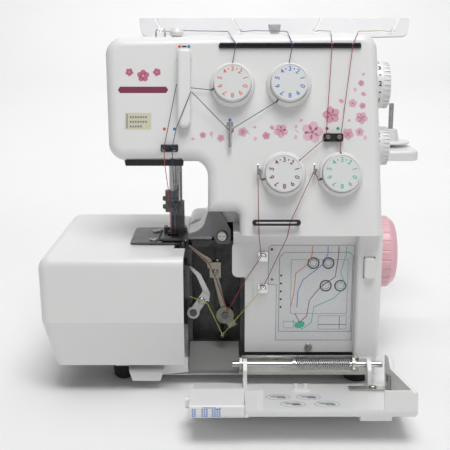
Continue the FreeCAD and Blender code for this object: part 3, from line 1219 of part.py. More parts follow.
needle_threads = [
    thread("red_thread", [
        *bar_run(0), face_point(6.2, 137, 2.9), face_point(3, 121, 2.7),
        face_point(-10.3, 114.3, 2.7), face_point(-28.2, 116, 3.9), face_point(-39.2, 119, 3.9), face_point(-49, 67, 7.7),
    ]),
    thread("blue_thread", [
        *bar_run(1), face_point(52.2, 137, 2.9), face_point(49, 121, 2.7),
        face_point(42.2, 105.1, 2.7), face_point(7, 83, 5.9), face_point(5.5, 79, 4.6), face_point(-27.2, 112, 9.9),
        face_point(-39, 82.6, 9.8), face_point(-42.5, 67, 7.7),
    ]),
]
looper_threads = [
    thread("maroon_thread", [
        *bar_run(2), face_point(81.6, 75.5, 5.2), face_point(58, 55, 2.7), face_point(50.5, 42.7, 2.7),
        face_point(29.6, 41.2, 3), face_point(26.4, 48.5, 8), face_point(27.2, 6.5, 2.4), (27.6, -22.9, 133.7),
        (30.4, -5.2, 112),
    ]),
    thread("green_thread", [
        *bar_run(3), face_point(93.6, 77.4, 5.2), face_point(93.4, 62.4, 3.2), face_point(92.2, 54, 2.7),
        face_point(89.4, 43, 2.7), face_point(75.4, 41.2, 3), face_point(71.8, 48.5, 8), face_point(52.5, 6.5, 2.4),
        (50.6, -22.9, 133.7), (31.5, -5.2, 84),
    ]),
]
node(group("needle_thread_pair", needle_threads), "needle_threads")
node(group("looper_thread_pair", looper_threads), "looper_threads")

# ---------------------------------------------------------------- check and write

doc.recompute()
for thing in doc.Objects:
    if "Invalid" in thing.State or "Error" in thing.State:
        raise RuntimeError(f"{thing.Name} did not compute")
os.makedirs("parts", exist_ok=True)
for label, thing in nodes.items():
    shape = thing.Shape
    if shape.isNull() or not shape.isValid() or not shape.Solids:
        raise RuntimeError(f"{label} has no valid solid")
    shape.exportStep(f"parts/{label}.step")
    print(f"{label:22s} solids {len(shape.Solids):3d}  volume {shape.Volume:10.1f}")
print(len(nodes), "nodes")
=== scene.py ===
import math

import bmesh
import bpy
from mathutils import Matrix, Vector


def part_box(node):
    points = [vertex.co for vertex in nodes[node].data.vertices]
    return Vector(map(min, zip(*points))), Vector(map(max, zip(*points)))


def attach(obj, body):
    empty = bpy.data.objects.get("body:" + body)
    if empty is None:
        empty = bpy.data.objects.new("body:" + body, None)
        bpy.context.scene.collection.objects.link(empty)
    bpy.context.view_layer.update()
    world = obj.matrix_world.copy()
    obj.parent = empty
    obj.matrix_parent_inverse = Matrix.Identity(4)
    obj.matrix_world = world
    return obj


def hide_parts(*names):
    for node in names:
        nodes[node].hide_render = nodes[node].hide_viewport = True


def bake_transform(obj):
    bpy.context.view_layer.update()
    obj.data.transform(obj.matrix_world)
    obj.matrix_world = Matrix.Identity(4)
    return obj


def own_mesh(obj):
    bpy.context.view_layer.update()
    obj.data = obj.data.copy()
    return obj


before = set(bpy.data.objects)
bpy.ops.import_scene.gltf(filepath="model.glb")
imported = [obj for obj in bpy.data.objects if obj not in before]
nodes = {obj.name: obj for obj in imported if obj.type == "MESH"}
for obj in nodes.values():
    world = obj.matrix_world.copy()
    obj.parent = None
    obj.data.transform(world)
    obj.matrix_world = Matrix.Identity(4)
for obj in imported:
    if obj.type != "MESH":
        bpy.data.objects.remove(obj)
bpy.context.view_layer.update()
scene = bpy.context.scene

# ---------------------------------------------------------------- where things are

# The part is laid out in a bench frame, in millimetres, and the needle bar's place in it gives the shift.
NEEDLE_X, NEEDLE_Y = -44, 18
low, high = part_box("needle_bar")
SHIFT_X = (low.x + high.x) / 2 - NEEDLE_X / 1000
SHIFT_Y = (low.y + high.y) / 2 - NEEDLE_Y / 1000


def at(x, y, z):
    """A point of the bench frame, given in millimetres."""
    return Vector((x / 1000 + SHIFT_X, y / 1000 + SHIFT_Y, z / 1000))


# The front face leans back by a slope of 0.268, from a foot line at y -21 and z 138.
LEAN = math.atan(0.268)
FACE_FOOT = at(0, -21, 138)
FACE_UP = Vector((0, math.sin(LEAN), math.cos(LEAN)))
FACE_OUT = Vector((0, -math.cos(LEAN), math.sin(LEAN)))
FACE = Matrix((
    (1, 0, 0, FACE_FOOT.x),
    (0, FACE_UP.y, FACE_OUT.y, FACE_FOOT.y),
    (0, FACE_UP.z, FACE_OUT.z, FACE_FOOT.z),
    (0, 0, 0, 1),
))


def on_face(x, up, out=0.0):
    """A point in the frame of the leaning front face: across it, up it and out of it, in millimetres."""
    return FACE @ Vector((x / 1000, up / 1000, out / 1000))


# ---------------------------------------------------------------- materials


class Shader:
    """Builds one node material, step by step."""

    def __init__(self, name):
        self.material = bpy.data.materials.new(name)
        self.material.use_nodes = True
        self.tree = self.material.node_tree
        self.bsdf = self.tree.nodes["Principled BSDF"]

    def new(self, kind, **settings):
        node = self.tree.nodes.new(kind)
        for key, value in settings.items():
            if hasattr(node, key):
                setattr(node, key, value)
            else:
                node.inputs[key.replace("_", " ")].default_value = value
        return node

    def link(self, source, target):
        self.tree.links.new(source, target)

    def coords(self, scale=(1, 1, 1)):
        where = self.new("ShaderNodeTexCoord")
        mapping = self.new("ShaderNodeMapping")
        mapping.inputs["Scale"].default_value = scale
        self.link(where.outputs["Object"], mapping.inputs["Vector"])
        return mapping.outputs["Vector"]

    def noise(self, scale, detail=3.0, roughness=0.55, stretch=(1, 1, 1)):
        texture = self.new("ShaderNodeTexNoise")
        texture.inputs["Scale"].default_value = scale
        texture.inputs["Detail"].default_value = detail
        texture.inputs["Roughness"].default_value = roughness
        self.link(self.coords(stretch), texture.inputs["Vector"])
        return texture.outputs["Fac"]

    def ramp(self, source, low_value, high_value, low_at=0.3, high_at=0.7):
        ramp = self.new("ShaderNodeMapRange")
        ramp.inputs["From Min"].default_value = low_at
        ramp.inputs["From Max"].default_value = high_at
        ramp.inputs["To Min"].default_value = low_value
        ramp.inputs["To Max"].default_value = high_value
        self.link(source, ramp.inputs["Value"])
        return ramp.outputs["Result"]

    def mix(self, source, first, second, low_at=0.3, high_at=0.7):
        ramp = self.new("ShaderNodeValToRGB")
        ramp.color_ramp.elements[0].position = low_at
        ramp.color_ramp.elements[1].position = high_at
        ramp.color_ramp.elements[0].color = (*first, 1)
        ramp.color_ramp.elements[1].color = (*second, 1)
        self.link(source, ramp.inputs["Fac"])
        return ramp.outputs["Color"]

    def bump(self, source, strength, distance):
        bump = self.new("ShaderNodeBump")
        bump.inputs["Strength"].default_value = strength
        bump.inputs["Distance"].default_value = distance
        self.link(source, bump.inputs["Height"])
        self.link(bump.outputs["Normal"], self.bsdf.inputs["Normal"])

    def set(self, **values):
        for key, value in values.items():
            self.bsdf.inputs[key.replace("_", " ")].default_value = value


def shade(colour, change):
    return tuple(max(0.0, min(1.0, c * change)) for c in colour)


def plastic(name, colour, rough=(0.26, 0.4), grain=900, bump=0.00003, coat=0.25, depth=0.985):
    """Moulded plastic: a fine skin, faint clouding and a broken gloss."""
    s = Shader(name)
    s.link(s.mix(s.noise(9, 4), shade(colour, depth), colour), s.bsdf.inputs["Base Color"])
    s.link(s.ramp(s.noise(60, 5), *rough), s.bsdf.inputs["Roughness"])
    s.bump(s.noise(grain, 2), 0.35, bump)
    s.set(Coat_Weight=coat, Coat_Roughness=0.18, IOR=1.48)
    return s.material


def metal(name, colour, rough=(0.2, 0.34), stretch=(1, 1, 30), grain=400, bump=0.00002, depth=0.82):
    """Machined metal with a fine brushed grain along one axis and faint stains."""
    s = Shader(name)
    s.link(s.mix(s.noise(grain, 4, 0.6, stretch), shade(colour, depth), colour),
           s.bsdf.inputs["Base Color"])
    s.link(s.ramp(s.noise(120, 5), *rough), s.bsdf.inputs["Roughness"])
    s.bump(s.noise(grain * 1.5, 3, 0.6, stretch), 0.4, bump)
    s.set(Metallic=1.0)
    return s.material


def cast(name, colour, metallic, rough=(0.5, 0.72), bump=0.00025):
    """A sand-cast or die-cast skin: coarse pits over soft waves."""
    s = Shader(name)
    s.link(s.mix(s.noise(260, 6, 0.7), shade(colour, 0.72), colour), s.bsdf.inputs["Base Color"])
    s.link(s.ramp(s.noise(180, 4), *rough), s.bsdf.inputs["Roughness"])
    s.bump(s.noise(700, 5, 0.65), 0.5, bump)
    s.set(Metallic=metallic)
    return s.material


def ink(name, colour, rough=0.45):
    """A printed film, a little uneven in density."""
    s = Shader(name)
    s.link(s.mix(s.noise(1400, 3), shade(colour, 0.86), colour), s.bsdf.inputs["Base Color"])
    s.link(s.ramp(s.noise(500, 3), rough - 0.06, rough + 0.08), s.bsdf.inputs["Roughness"])
    return s.material


def yarn(name, colour):
    """Twisted sewing thread: a soft sheen over dark twist lines."""
    s = Shader(name)
    wave = s.new("ShaderNodeTexWave", wave_type="BANDS", bands_direction="DIAGONAL")
    wave.inputs["Scale"].default_value = 700
    wave.inputs["Distortion"].default_value = 1.5
    s.link(s.coords(), wave.inputs["Vector"])
    s.link(s.mix(wave.outputs["Fac"], shade(colour, 0.55), colour, 0.1, 0.8),
           s.bsdf.inputs["Base Color"])
    s.bump(wave.outputs["Fac"], 0.5, 0.0001)
    s.set(Roughness=0.5, Sheen_Weight=0.4, Sheen_Roughness=0.4)
    return s.material


WHITE = plastic("white_shell", (0.80, 0.80, 0.795), rough=(0.3, 0.36))
TRAY_WHITE = plastic("tray_white", (0.78, 0.78, 0.78), rough=(0.34, 0.42))
CREAM = plastic("dial_white", (0.80, 0.80, 0.79), rough=(0.3, 0.42))
CAP = plastic("dial_cap_white", (0.74, 0.75, 0.75), rough=(0.36, 0.48), coat=0.1)
PINK = plastic("wheel_pink", (0.86, 0.50, 0.56), rough=(0.28, 0.4), depth=0.92)
BLACK = plastic("black_moulding", (0.018, 0.018, 0.02), rough=(0.35, 0.5), coat=0.1)
GREY = plastic("grey_moulding", (0.30, 0.30, 0.31), rough=(0.42, 0.55), coat=0.05)
# Painted shade: a dark grey that stands for the shade in the coved trim chute of the white tray.
CHUTE_SHADE = plastic("chute_painted_shade", (0.20, 0.20, 0.195), rough=(0.42, 0.55), coat=0.05)
STEEL = metal("ground_steel", (0.56, 0.56, 0.57))
DARK_METAL = metal("blackened_steel", (0.15, 0.15, 0.153), rough=(0.28, 0.42))
PLATE_STEEL = metal("plate_steel", (0.17, 0.17, 0.173), rough=(0.3, 0.42), stretch=(30, 1, 1))
STEEL_X = metal("ground_steel_across", (0.56, 0.56, 0.57), stretch=(30, 1, 1))
DARK_STEEL = metal("dark_steel", (0.11, 0.11, 0.12), rough=(0.25, 0.4), stretch=(30, 1, 1))
CHROME = metal("chrome_wire", (0.78, 0.78, 0.8), rough=(0.06, 0.14), bump=0.000005, depth=0.94)
ZINC = metal("zinc_plate", (0.60, 0.59, 0.55), rough=(0.24, 0.42), grain=90, stretch=(1, 1, 1),
             depth=0.86)
CAST = cast("cast_aluminium", (0.20, 0.20, 0.205), 0.85)
OLIVE = metal("blued_looper_steel", (0.30, 0.29, 0.24), rough=(0.2, 0.36))
RUBBER = plastic("foot_rubber", (0.02, 0.02, 0.02), rough=(0.7, 0.85), grain=500, bump=0.0001, coat=0.0)
BELT = plastic("belt_rubber", (0.03, 0.03, 0.03), rough=(0.6, 0.75), grain=700, bump=0.0001, coat=0.0)
ENAMEL = cast("motor_enamel", (0.06, 0.065, 0.07), 0.1, rough=(0.35, 0.5))

clear = Shader("clear_guide_plastic")
clear.link(clear.mix(clear.noise(20, 3), (0.60, 0.60, 0.62), (0.66, 0.66, 0.68)),
           clear.bsdf.inputs["Base Color"])
clear.link(clear.ramp(clear.noise(80, 3), 0.16, 0.28), clear.bsdf.inputs["Roughness"])
clear.set(Alpha=0.72, IOR=1.45, Coat_Weight=0.3, Coat_Roughness=0.1)
CLEAR = clear.material

RED_INK = ink("red_ink", (0.72, 0.10, 0.06))
ORANGE_INK = ink("orange_ink", (0.80, 0.20, 0.10))
BLUE_INK = ink("blue_ink", (0.08, 0.22, 0.62))
MAROON_INK = ink("maroon_ink", (0.24, 0.03, 0.09))
TEAL_INK = ink("teal_ink", (0.10, 0.55, 0.42))
GREEN_INK = ink("green_ink", (0.05, 0.40, 0.14))
BLACK_INK = ink("black_ink", (0.02, 0.02, 0.025))
GREY_INK = ink("grey_ink", (0.25, 0.25, 0.27))
PALE_INK = ink("sticker_white", (0.78, 0.79, 0.80), 0.35)
CREAM_INK = ink("cream_label", (0.72, 0.68, 0.52), 0.4)
PINKS = [ink(f"petal_pink_{i}", c) for i, c in enumerate((
    (0.76, 0.38, 0.49), (0.80, 0.46, 0.56), (0.82, 0.52, 0.61), (0.62, 0.16, 0.28)))]

PAINT = (
    (WHITE, "front_casing rear_casing inner_front_panel looper_cover cloth_plate takeup_cover"),
    (TRAY_WHITE, "base_tray spool_stand spool_discs cover_chart_box"),
    (CREAM, "dial_collars stitch_length_dial differential_dial pressure_knob safety_button"),
    (CAP, "tension_dial_1 tension_dial_2 tension_dial_3 tension_dial_4"),
    (PINK, "handwheel"),
    (BLACK, "power_socket power_switch looper_thread_guide needle_thread_guide presser_lifter"),
    (GREY, "bed_gusset_plate"),
    (CAST, "main_frame"),
    (DARK_METAL, "needle_clamp presser_foot lower_knife upper_knife feed_dogs"),
    (PLATE_STEEL, "needle_plate"),
    (STEEL, "needle_bar presser_bar pole_outer pole_middle pole_top spool_pins needles"),
    (STEEL_X, "main_shaft motor_pulley hinge_shaft hinge_spring tension_discs lower_looper"),
    (OLIVE, "upper_looper"),
    (DARK_STEEL, "top_thread_guide slot_thread_guide"),
    (CHROME, "wire_thread_guides clip_guides"),
    (ZINC, "latch_plate hinge_bracket casing_screws"),
    (CLEAR, "thread_guide_bar"),
    (RUBBER, "rubber_feet"),
    (BELT, "drive_belt"),
    (ENAMEL, "motor"),
)
for material, names in PAINT:
    for name in names.split():
        mesh = nodes[name].data
        mesh.materials.clear()
        mesh.materials.append(material)

# ---------------------------------------------------------------- small flat prints

EMBED = 0.05     # how far a print reaches into the surface below it, in millimetres
JOIN = 0.3       # how far a bar of a stroke runs past its ends, in widths


def new_object(name, mesh, *materials):
    """An object in the scene from a mesh that is already in the row frame."""
    thing = bpy.data.objects.new(name, mesh)
    scene.collection.objects.link(thing)
    for material in materials:
        mesh.materials.append(material)
    return thing


def turned(x, y, u, v, turn):
    """The point (u, v) turned about the origin and moved to (x, y)."""
    return x + u * math.cos(turn) - v * math.sin(turn), y + u * math.sin(turn) + v * math.cos(turn)


def upright(depth):
    """The placing for prints on an upright plane that faces the front, at a depth in the bench frame."""
    return lambda x, z, out: at(x, depth - out, z)


def circle(x, y, radius, sides, count):
    """The first count corners of a polygon of some sides about (x, y)."""
    angles = [2 * math.pi * i / sides for i in range(count)]
    return [(x + radius * math.cos(a), y + radius * math.sin(a)) for a in angles]


class Print:
    """Thin raised shapes on a surface; place turns (x, y, out) in millimetres into the row frame."""

    def __init__(self, place):
        self.bm = bmesh.new()
        self.place = place

    def slab(self, outline, thick=0.06, base=0.0, material=0):
        """A closed slab over an outline of (x, y) points, turning left."""
        top = [self.bm.verts.new(self.place(x, y, base + thick)) for x, y in outline]
        foot = [self.bm.verts.new(self.place(x, y, base - EMBED)) for x, y in outline]
        faces = [self.bm.faces.new(top), self.bm.faces.new(foot[::-1])]
        for i in range(len(outline)):
            k = (i + 1) % len(outline)
            faces.append(self.bm.faces.new((top[i], foot[i], foot[k], top[k])))
        for face in faces:
            face.material_index = material

    def disc(self, x, y, radius, sides=28, **kw):
        self.slab(circle(x, y, radius, sides, sides), **kw)

    def ellipse(self, x, y, a, b, turn, sides=28, **kw):
        angles = [2 * math.pi * i / sides for i in range(sides)]
        self.slab([turned(x, y, a * math.cos(t), b * math.sin(t), turn) for t in angles], **kw)

    def stroke(self, points, width, **kw):
        """A line of some width through points, drawn as one bar for each run."""
        for (x0, y0), (x1, y1) in zip(points, points[1:]):
            length = math.hypot(x1 - x0, y1 - y0)
            dx, dy = (x1 - x0) / length, (y1 - y0) / length
            ax, ay = -dy * width / 2, dx * width / 2
            over_x, over_y = dx * width * JOIN, dy * width * JOIN
            x0, y0, x1, y1 = x0 - over_x, y0 - over_y, x1 + over_x, y1 + over_y
            self.slab([(x0 - ax, y0 - ay), (x1 - ax, y1 - ay), (x1 + ax, y1 + ay), (x0 + ax, y0 + ay)],
                      **kw)

    def ring(self, x, y, radius, width, sides=28, **kw):
        self.stroke(circle(x, y, radius, sides, sides + 1), width, **kw)

    def rect(self, x0, y0, x1, y1, **kw):
        self.slab([(x0, y0), (x1, y0), (x1, y1), (x0, y1)], **kw)

    def done(self, name, body, *materials):
        """Makes the shapes one piece that rides on a body."""
        bmesh.ops.recalc_face_normals(self.bm, faces=self.bm.faces)
        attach(new_object(name, mesh_of(self.bm, name), *materials), body)


def mesh_of(bm, name):
    """Turns a bmesh into a mesh and frees it."""
    mesh = bpy.data.meshes.new(name)
    bm.to_mesh(mesh)
    bm.free()
    return mesh


def numeral(text, size):
    """A numeral as a flat mesh about its own middle, in millimetres."""
    curve = bpy.data.curves.new("numeral_" + text, "FONT")
    curve.body = text
    curve.size = size
    curve.align_x = "CENTER"
    curve.align_y = "CENTER"
    curve.extrude = 0.05
    curve.offset = size * 0.018
    maker = bpy.data.objects.new("numeral_maker", curve)
    scene.collection.objects.link(maker)
    bpy.context.view_layer.update()
    mesh = bpy.data.meshes.new_from_object(maker.evaluated_get(bpy.context.evaluated_depsgraph_get()))
    bpy.data.objects.remove(maker)
    bpy.data.curves.remove(curve)
    xs, ys = [v.co.x for v in mesh.vertices], [v.co.y for v in mesh.vertices]
    middle = (Vector((min(xs), min(ys), 0)) + Vector((max(xs), max(ys), 0))) / 2
    mesh.transform(Matrix.Translation(-middle))
    return mesh


def add_mesh(bm, mesh, place):
    """Adds a mesh to a bmesh, each of its points moved by place."""
    start = len(bm.verts)
    bm.from_mesh(mesh)
    bm.verts.ensure_lookup_table()
    for vert in bm.verts[start:]:
        vert.co = place(vert.co)


# ---------------------------------------------------------------- tension dial scales

MM = Matrix.Scale(0.001, 4)
CAP_OUT = 0.0126         # how far the cap of a dial stands out of the face, in metres
DIGIT_REACH, DOT_REACH, DOT_RADIUS = 10.7, 11, 0.62
DIALS = (("one", 6, 119, ORANGE_INK), ("two", 52, 119, BLUE_INK),
         ("three", 47.4, 46, MAROON_INK), ("four", 93.4, 46, TEAL_INK))
digits = {text: numeral(text, 5.3) for text in "0123456789"}
for name, x, up, colour in DIALS:
    bm = bmesh.new()
    base = FACE @ Matrix.Translation((x / 1000, up / 1000, CAP_OUT)) @ MM
    for i, text in enumerate("3210987654"):
        turn = Matrix.Rotation(-math.radians(36 * i), 4, "Z")
        matrix = base @ turn @ Matrix.Translation((0, DIGIT_REACH, 0))
        add_mesh(bm, digits[text], lambda co: matrix @ co)
    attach(new_object("dial_scale_" + name, mesh_of(bm, "scale_" + name), colour), "dial_" + name)
    dots = Print(lambda u, v, w: base @ Vector((u, v, w)))
    for turn in (-18, 18):
        a = math.radians(90 + turn)
        dots.disc(DOT_REACH * math.cos(a), DOT_REACH * math.sin(a), DOT_RADIUS, sides=14)
    dots.done("dial_dots_" + name, "dial_" + name, colour)

# ---------------------------------------------------------------- prints on the leaning face


def blossom(prints, x, up, radius, turn, materials):
    """A plain five-petal flower with a darker middle; each petal has a notch in its tip."""
    side = []
    for t in range(15):
        s = t / 14
        reach = radius * (0.16 + 0.84 * s)
        wide = radius * 0.43 * math.sin(math.pi * min(1.0, 0.12 + 0.86 * s)) ** 0.6
        side.append((reach, wide))
    outline = [(u, -w) for u, w in side] + [(radius * 0.9, 0.0)] + side[::-1]
    for k in range(5):
        a = turn + 2 * math.pi * k / 5
        prints.slab([turned(x, up, u, w, a) for u, w in outline], material=materials[0])
    prints.disc(x, up, radius * 0.17, sides=12, thick=0.09, material=materials[1])


def loose_petal(prints, x, up, radius, turn, material):
    """One petal on its own, narrower at one end."""
    points = []
    for k in range(16):
        t = 2 * math.pi * k / 16
        u, w = radius * math.cos(t), radius * 0.72 * math.sin(t) * (1 - 0.35 * math.cos(t))
        points.append(turned(x, up, u, w, turn))
    prints.slab(points, material=material)


flowers = Print(on_face)
BLOSSOMS = ((-18, 78, 2.8), (-3.5, 75.5, 3.3), (14.5, 80.5, 4.3), (33.5, 77.5, 3.4), (45.5, 81.5, 6),
            (71, 80.5, 9), (86.5, 94.5, 7.3), (100, 79, 5.1), (104, 104, 3.8), (112, 102, 2.8),
            (111, 92, 5.3), (109.5, 80.5, 3.9), (111, 120.5, 2.7))
for i, (x, up, radius) in enumerate(BLOSSOMS):
    blossom(flowers, x, up, radius, 0.4 + i * 1.7, (i % 3, 3))
PETALS = ((-26, 75), (-11, 79.5), (5.5, 82), (24, 84.5), (24.5, 75), (38.5, 84), (58, 85), (57.5, 76.5),
          (94.5, 106), (101, 90), (106, 115), (113, 111.5), (113, 128), (114, 76), (84, 78.5), (62, 90))
for i, (x, up) in enumerate(PETALS):
    loose_petal(flowers, x, up, 1.5 + 0.35 * (i % 3), 1.1 * i, material=(i + 1) % 3)
for x, up, turn in ((-10.5, 76, 1.9), (20, 78.5, 2.2), (96.5, 96.5, 1.5), (60, 80, 2.4)):
    flowers.stroke([(x, up), (x + 4 * math.cos(turn), up + 4 * math.sin(turn))], 0.5, material=0)
flowers.done("flower_print", "housing", *PINKS)

badge = Print(on_face)
badge.slab([(-85.5, 112.4), (-48, 112.4), (-46.2, 115), (-48, 117.6), (-85.5, 117.6), (-87.3, 115)])
badge.done("badge_bar", "housing", MAROON_INK)
badge_flowers = Print(on_face)
for x, up, radius, turn in ((-66.7, 126.5, 5.2, 0.3), (-78, 129.5, 3.4, 1.0), (-55.5, 129.5, 3.4, 0.7)):
    blossom(badge_flowers, x, up, radius, turn, (0, 1))
badge_flowers.done("badge_blossoms", "housing", PINKS[3], PINKS[1])

label = Print(on_face)
label.rect(-81.5, 82.6, -60, 96.2, thick=0.1, material=0)
label.rect(-80.2, 83.6, -79.2, 95.2, thick=0.16, material=1)
for up, end in ((92.6, -62.5), (88.8, -61.5), (85, -67)):
    for k in range(int((end + 77.5) / 2.1)):
        x = -77.5 + 2.1 * k
        label.rect(x, up - 0.8, x + 1.4, up + 0.9, thick=0.16, material=1)
label.done("needle_label", "housing", CREAM_INK, GREY_INK)

marks = Print(on_face)
INKS = [RED_INK, BLUE_INK, BLACK_INK, MAROON_INK, GREEN_INK]
GUIDE_DOTS = ((-49.3, 83, 0, 0), (-41.2, 83, 0, 1), (-37, 150.2, 1.3, 0), (-29.4, 150.2, 1.3, 1),
              (83, 83.4, 0, 3), (91.8, 83.4, 0, 4), (4, 90.3, 0, 1))
for x, up, base, ink_index in GUIDE_DOTS:
    marks.disc(x, up, 1.25, sides=20, thick=0.12, base=base, material=ink_index)
marks.rect(-35.2, 149.6, -31.2, 150.8, thick=0.12, base=1.3, material=2)
marks.done("guide_marks", "housing", *INKS)
GUIDE_SCREWS = ((83, 75.5, 7.3), (92, 75.5, 7.3), (-49.6, 65.7, 4), (-41.2, 65.7, 4))
SCREW_THICK = 0.35
bright = Print(on_face)
for x, up, base in GUIDE_SCREWS:
    bright.disc(x, up, 1.7, sides=20, thick=SCREW_THICK, base=base)
bright.rect(-51, 69.2, -39, 69.9, thick=0.2, base=4)
bright.done("guide_screw_faces", "housing", CHROME)
# Painted shade: black bars on the screw faces stand for the shade in their slots.
black = Print(on_face)
for x, up, base in GUIDE_SCREWS:
    black.rect(x - 1.3, up - 0.25, x + 1.3, up + 0.25, thick=0.06, base=base + SCREW_THICK)
black.done("guide_screw_slot_shade", "housing", BLACK)
clamp_dots = Print(upright(13.35))
for x, z in ((-42.2, 154.6), (-42.2, 150)):
    clamp_dots.disc(x, z, 1.7, sides=18, thick=0.3)
clamp_dots.done("clamp_screw_faces", "needle_carrier", BLACK)

# ---------------------------------------------------------------- thread chart on the inner panel

panel = upright(0)
chart = Print(panel)
CHART_EDGE = [(43.6, 36), (109, 36), (109, 120.5), (39, 120.5), (36.8, 118.5), (36.8, 86), (43.6, 86)]
chart.slab(CHART_EDGE, thick=0.12)
chart.done("panel_chart", "housing", PALE_INK)
lines = Print(panel)
CHART_INKS = [GREY_INK, ORANGE_INK, BLUE_INK, MAROON_INK, TEAL_INK, BLACK_INK]
lines.stroke(CHART_EDGE + [CHART_EDGE[0]], 0.35, thick=0.18)
lines.stroke([(46, 44), (46, 110), (50, 114.4), (105, 114.4), (108, 111), (108, 44), (46, 44)], 0.45,
             thick=0.18)
lines.stroke([(56, 60), (56, 108), (104, 108), (104, 60), (56, 60)], 0.3, thick=0.18)
RINGS = ((74.7, 105), (87.3, 105), (85.5, 85), (98, 85))
for x, z in RINGS:
    lines.ring(x, z, 4.6, 1.1, thick=0.2)
    lines.ring(x, z, 2.8, 0.3, thick=0.2)
for k, x in enumerate((73.5, 86.7, 95.8, 102.2)):
    lines.stroke([(x, 119.6), (x, 113)], 0.6, thick=0.24, material=1 + k)
PATHS = (
    [(73.5, 113), (70.2, 104), (60, 96), (58.6, 78), (56, 66)],
    [(86.7, 113), (82.8, 104), (66, 90), (62, 80), (61.4, 66)],
    [(95.8, 113), (93.5, 93), (81.2, 84), (72, 72), (70, 58), (64, 52), (60, 60)],
    [(102.2, 113), (98, 97), (102.4, 84), (93, 74), (76, 66), (74, 52), (66, 46), (58, 54)],
)
for k, path in enumerate(PATHS):
    lines.stroke(path, 0.55, thick=0.24, material=1 + k)
for x, z, w, h in ((50, 47, 9, 6), (80, 46, 24, 12), (80, 50, 24, 0.3), (98, 46, 0.3, 12)):
    lines.stroke([(x, z), (x + w, z), (x + w, z + h), (x, z + h), (x, z)], 0.3, thick=0.18)
for k in range(5):
    lines.disc(47.5, 66 + 7 * k, 0.9, sides=14, thick=0.2, material=5)
lines.ellipse(64, 50, 4.6, 3, 0.3, thick=0.18, material=4)
lines.done("panel_chart_lines", "housing", *CHART_INKS)
spots = Print(panel)
spots.disc(39.4, 117, 1.2, thick=0.24)
spots.disc(39.8, 90.6, 1.2, thick=0.24, material=1)
spots.done("clip_marks", "housing", MAROON_INK, GREEN_INK)

# ---------------------------------------------------------------- prints on the opened cover

HINGE_Y, HINGE_Z = -20, 22
OPEN = math.radians(78)
COVER = Matrix.Translation(at(0, HINGE_Y, HINGE_Z)) @ Matrix.Rotation(OPEN, 4, "X")


def inside_cover(x, z, out):
    """A point on the inner face of the cover, as it lies when the cover is shut."""
    return COVER @ Vector((x / 1000, (-17.6 + out) / 1000, z / 1000))


def chart_box_end(x, y, out):
    """A point on the far end of the chart box on the cover."""
    return COVER @ Vector((x / 1000, y / 1000, (102 + out) / 1000))


card = Print(inside_cover)
card.rect(28, 30, 99, 98, thick=0.12)
card.done("cover_card", "cover", PALE_INK)
scenes = Print(inside_cover)
for k, (x, z) in enumerate(((42, 45), (66, 45), (52, 68), (78, 68))):
    scenes.ring(x, z, 9.4, 0.4, sides=36, thick=0.2)
    for j in range(6):
        scenes.stroke([(x - 6.5 + 2 * j, z - 4.5), (x - 3.8 + 2 * j, z + 1.5)], 0.6, thick=0.22,
                      material=5)
    scenes.rect(x - 1, z - 1, x + 5.5, z + 4.5, thick=0.22)
    scenes.rect(x + 0.5, z + 0.2, x + 3.5, z + 3, thick=0.26, material=1 + k)
scenes.done("cover_card_drawings", "cover", *CHART_INKS)
ticks = Print(chart_box_end)
for x, count in ((-24, 2), (-17, 3), (-9.5, 4)):
    for k in range(count):
        for j in range(4):
            ticks.rect(x + 1.7 * k, -18.6 + 1.5 * j, x + 1.7 * k + 1.1, -17.7 + 1.5 * j, thick=0.1)
ticks.stroke([(-16, -12.2), (-7, -12.2), (-5.5, -13.4), (-3, -12.2)], 0.5, thick=0.1)
ticks.done("chart_box_marks", "cover", BLUE_INK)

# ---------------------------------------------------------------- numerals on the rims of the side dials

rim_digits = {text: numeral(text, 5.6) for text in "01234"}
RIM_STEP = 42                # degrees from one numeral to the next
RIM_MIDDLE = 3.5             # from the foot of a rim to the middle of its numerals


def rim_scale(name, body, foot, y, z, radius, texts, first):
    """Numerals and dots round the rim of a side dial; first is the turn of the first, in degrees."""
    bm = bmesh.new()
    for k, text in enumerate(texts):
        centre = math.radians(first + RIM_STEP * k)

        def place(co):
            turn, reach = centre + co.y / radius, radius + 0.22 + co.z
            return at(foot + RIM_MIDDLE + co.x, y - reach * math.cos(turn), z + reach * math.sin(turn))

        add_mesh(bm, rim_digits[text], place)
    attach(new_object(name, mesh_of(bm, name), BLACK_INK), body)

    def place_dot(u, v, w):
        reach = radius + 0.05 + w
        turn = v / radius
        return at(foot + RIM_MIDDLE + u, y - reach * math.cos(turn), z + reach * math.sin(turn))

    dots = Print(place_dot)
    for k in range(len(texts) + 1):
        turn = first - RIM_STEP / 2 + RIM_STEP * k
        dots.disc(0, radius * math.radians(turn), 0.75, sides=14, thick=0.12)
    dots.done(name + "_dots", body, BLACK_INK)


rim_scale("length_scale", "length_dial", 126.8, 50, 250, 20, "01234", -76)
rim_scale("ratio_scale", "ratio_dial", 128.6, 50, 197.5, 17, "0123", -42)

# ---------------------------------------------------------------- threads

RED_YARN = yarn("red_yarn", (0.62, 0.06, 0.05))
BLUE_YARN = yarn("blue_yarn", (0.03, 0.05, 0.16))
MAROON_YARN = yarn("maroon_yarn", (0.40, 0.04, 0.06))
LIME_YARN = yarn("lime_yarn", (0.62, 0.72, 0.10))


def islands(mesh):
    """The vertices of a mesh as lists of those that hang together."""
    bm = bmesh.new()
    bm.from_mesh(mesh)
    bm.verts.ensure_lookup_table()
    seen, found = set(), []
    for vert in bm.verts:
        if vert.index in seen:
            continue
        stack, island = [vert], []
        seen.add(vert.index)
        while stack:
            here = stack.pop()
            island.append((here.index, here.co.x))
            for edge in here.link_edges:
                other = edge.other_vert(here)
                if other.index not in seen:
                    seen.add(other.index)
                    stack.append(other)
        found.append(island)
    bm.free()
    return found


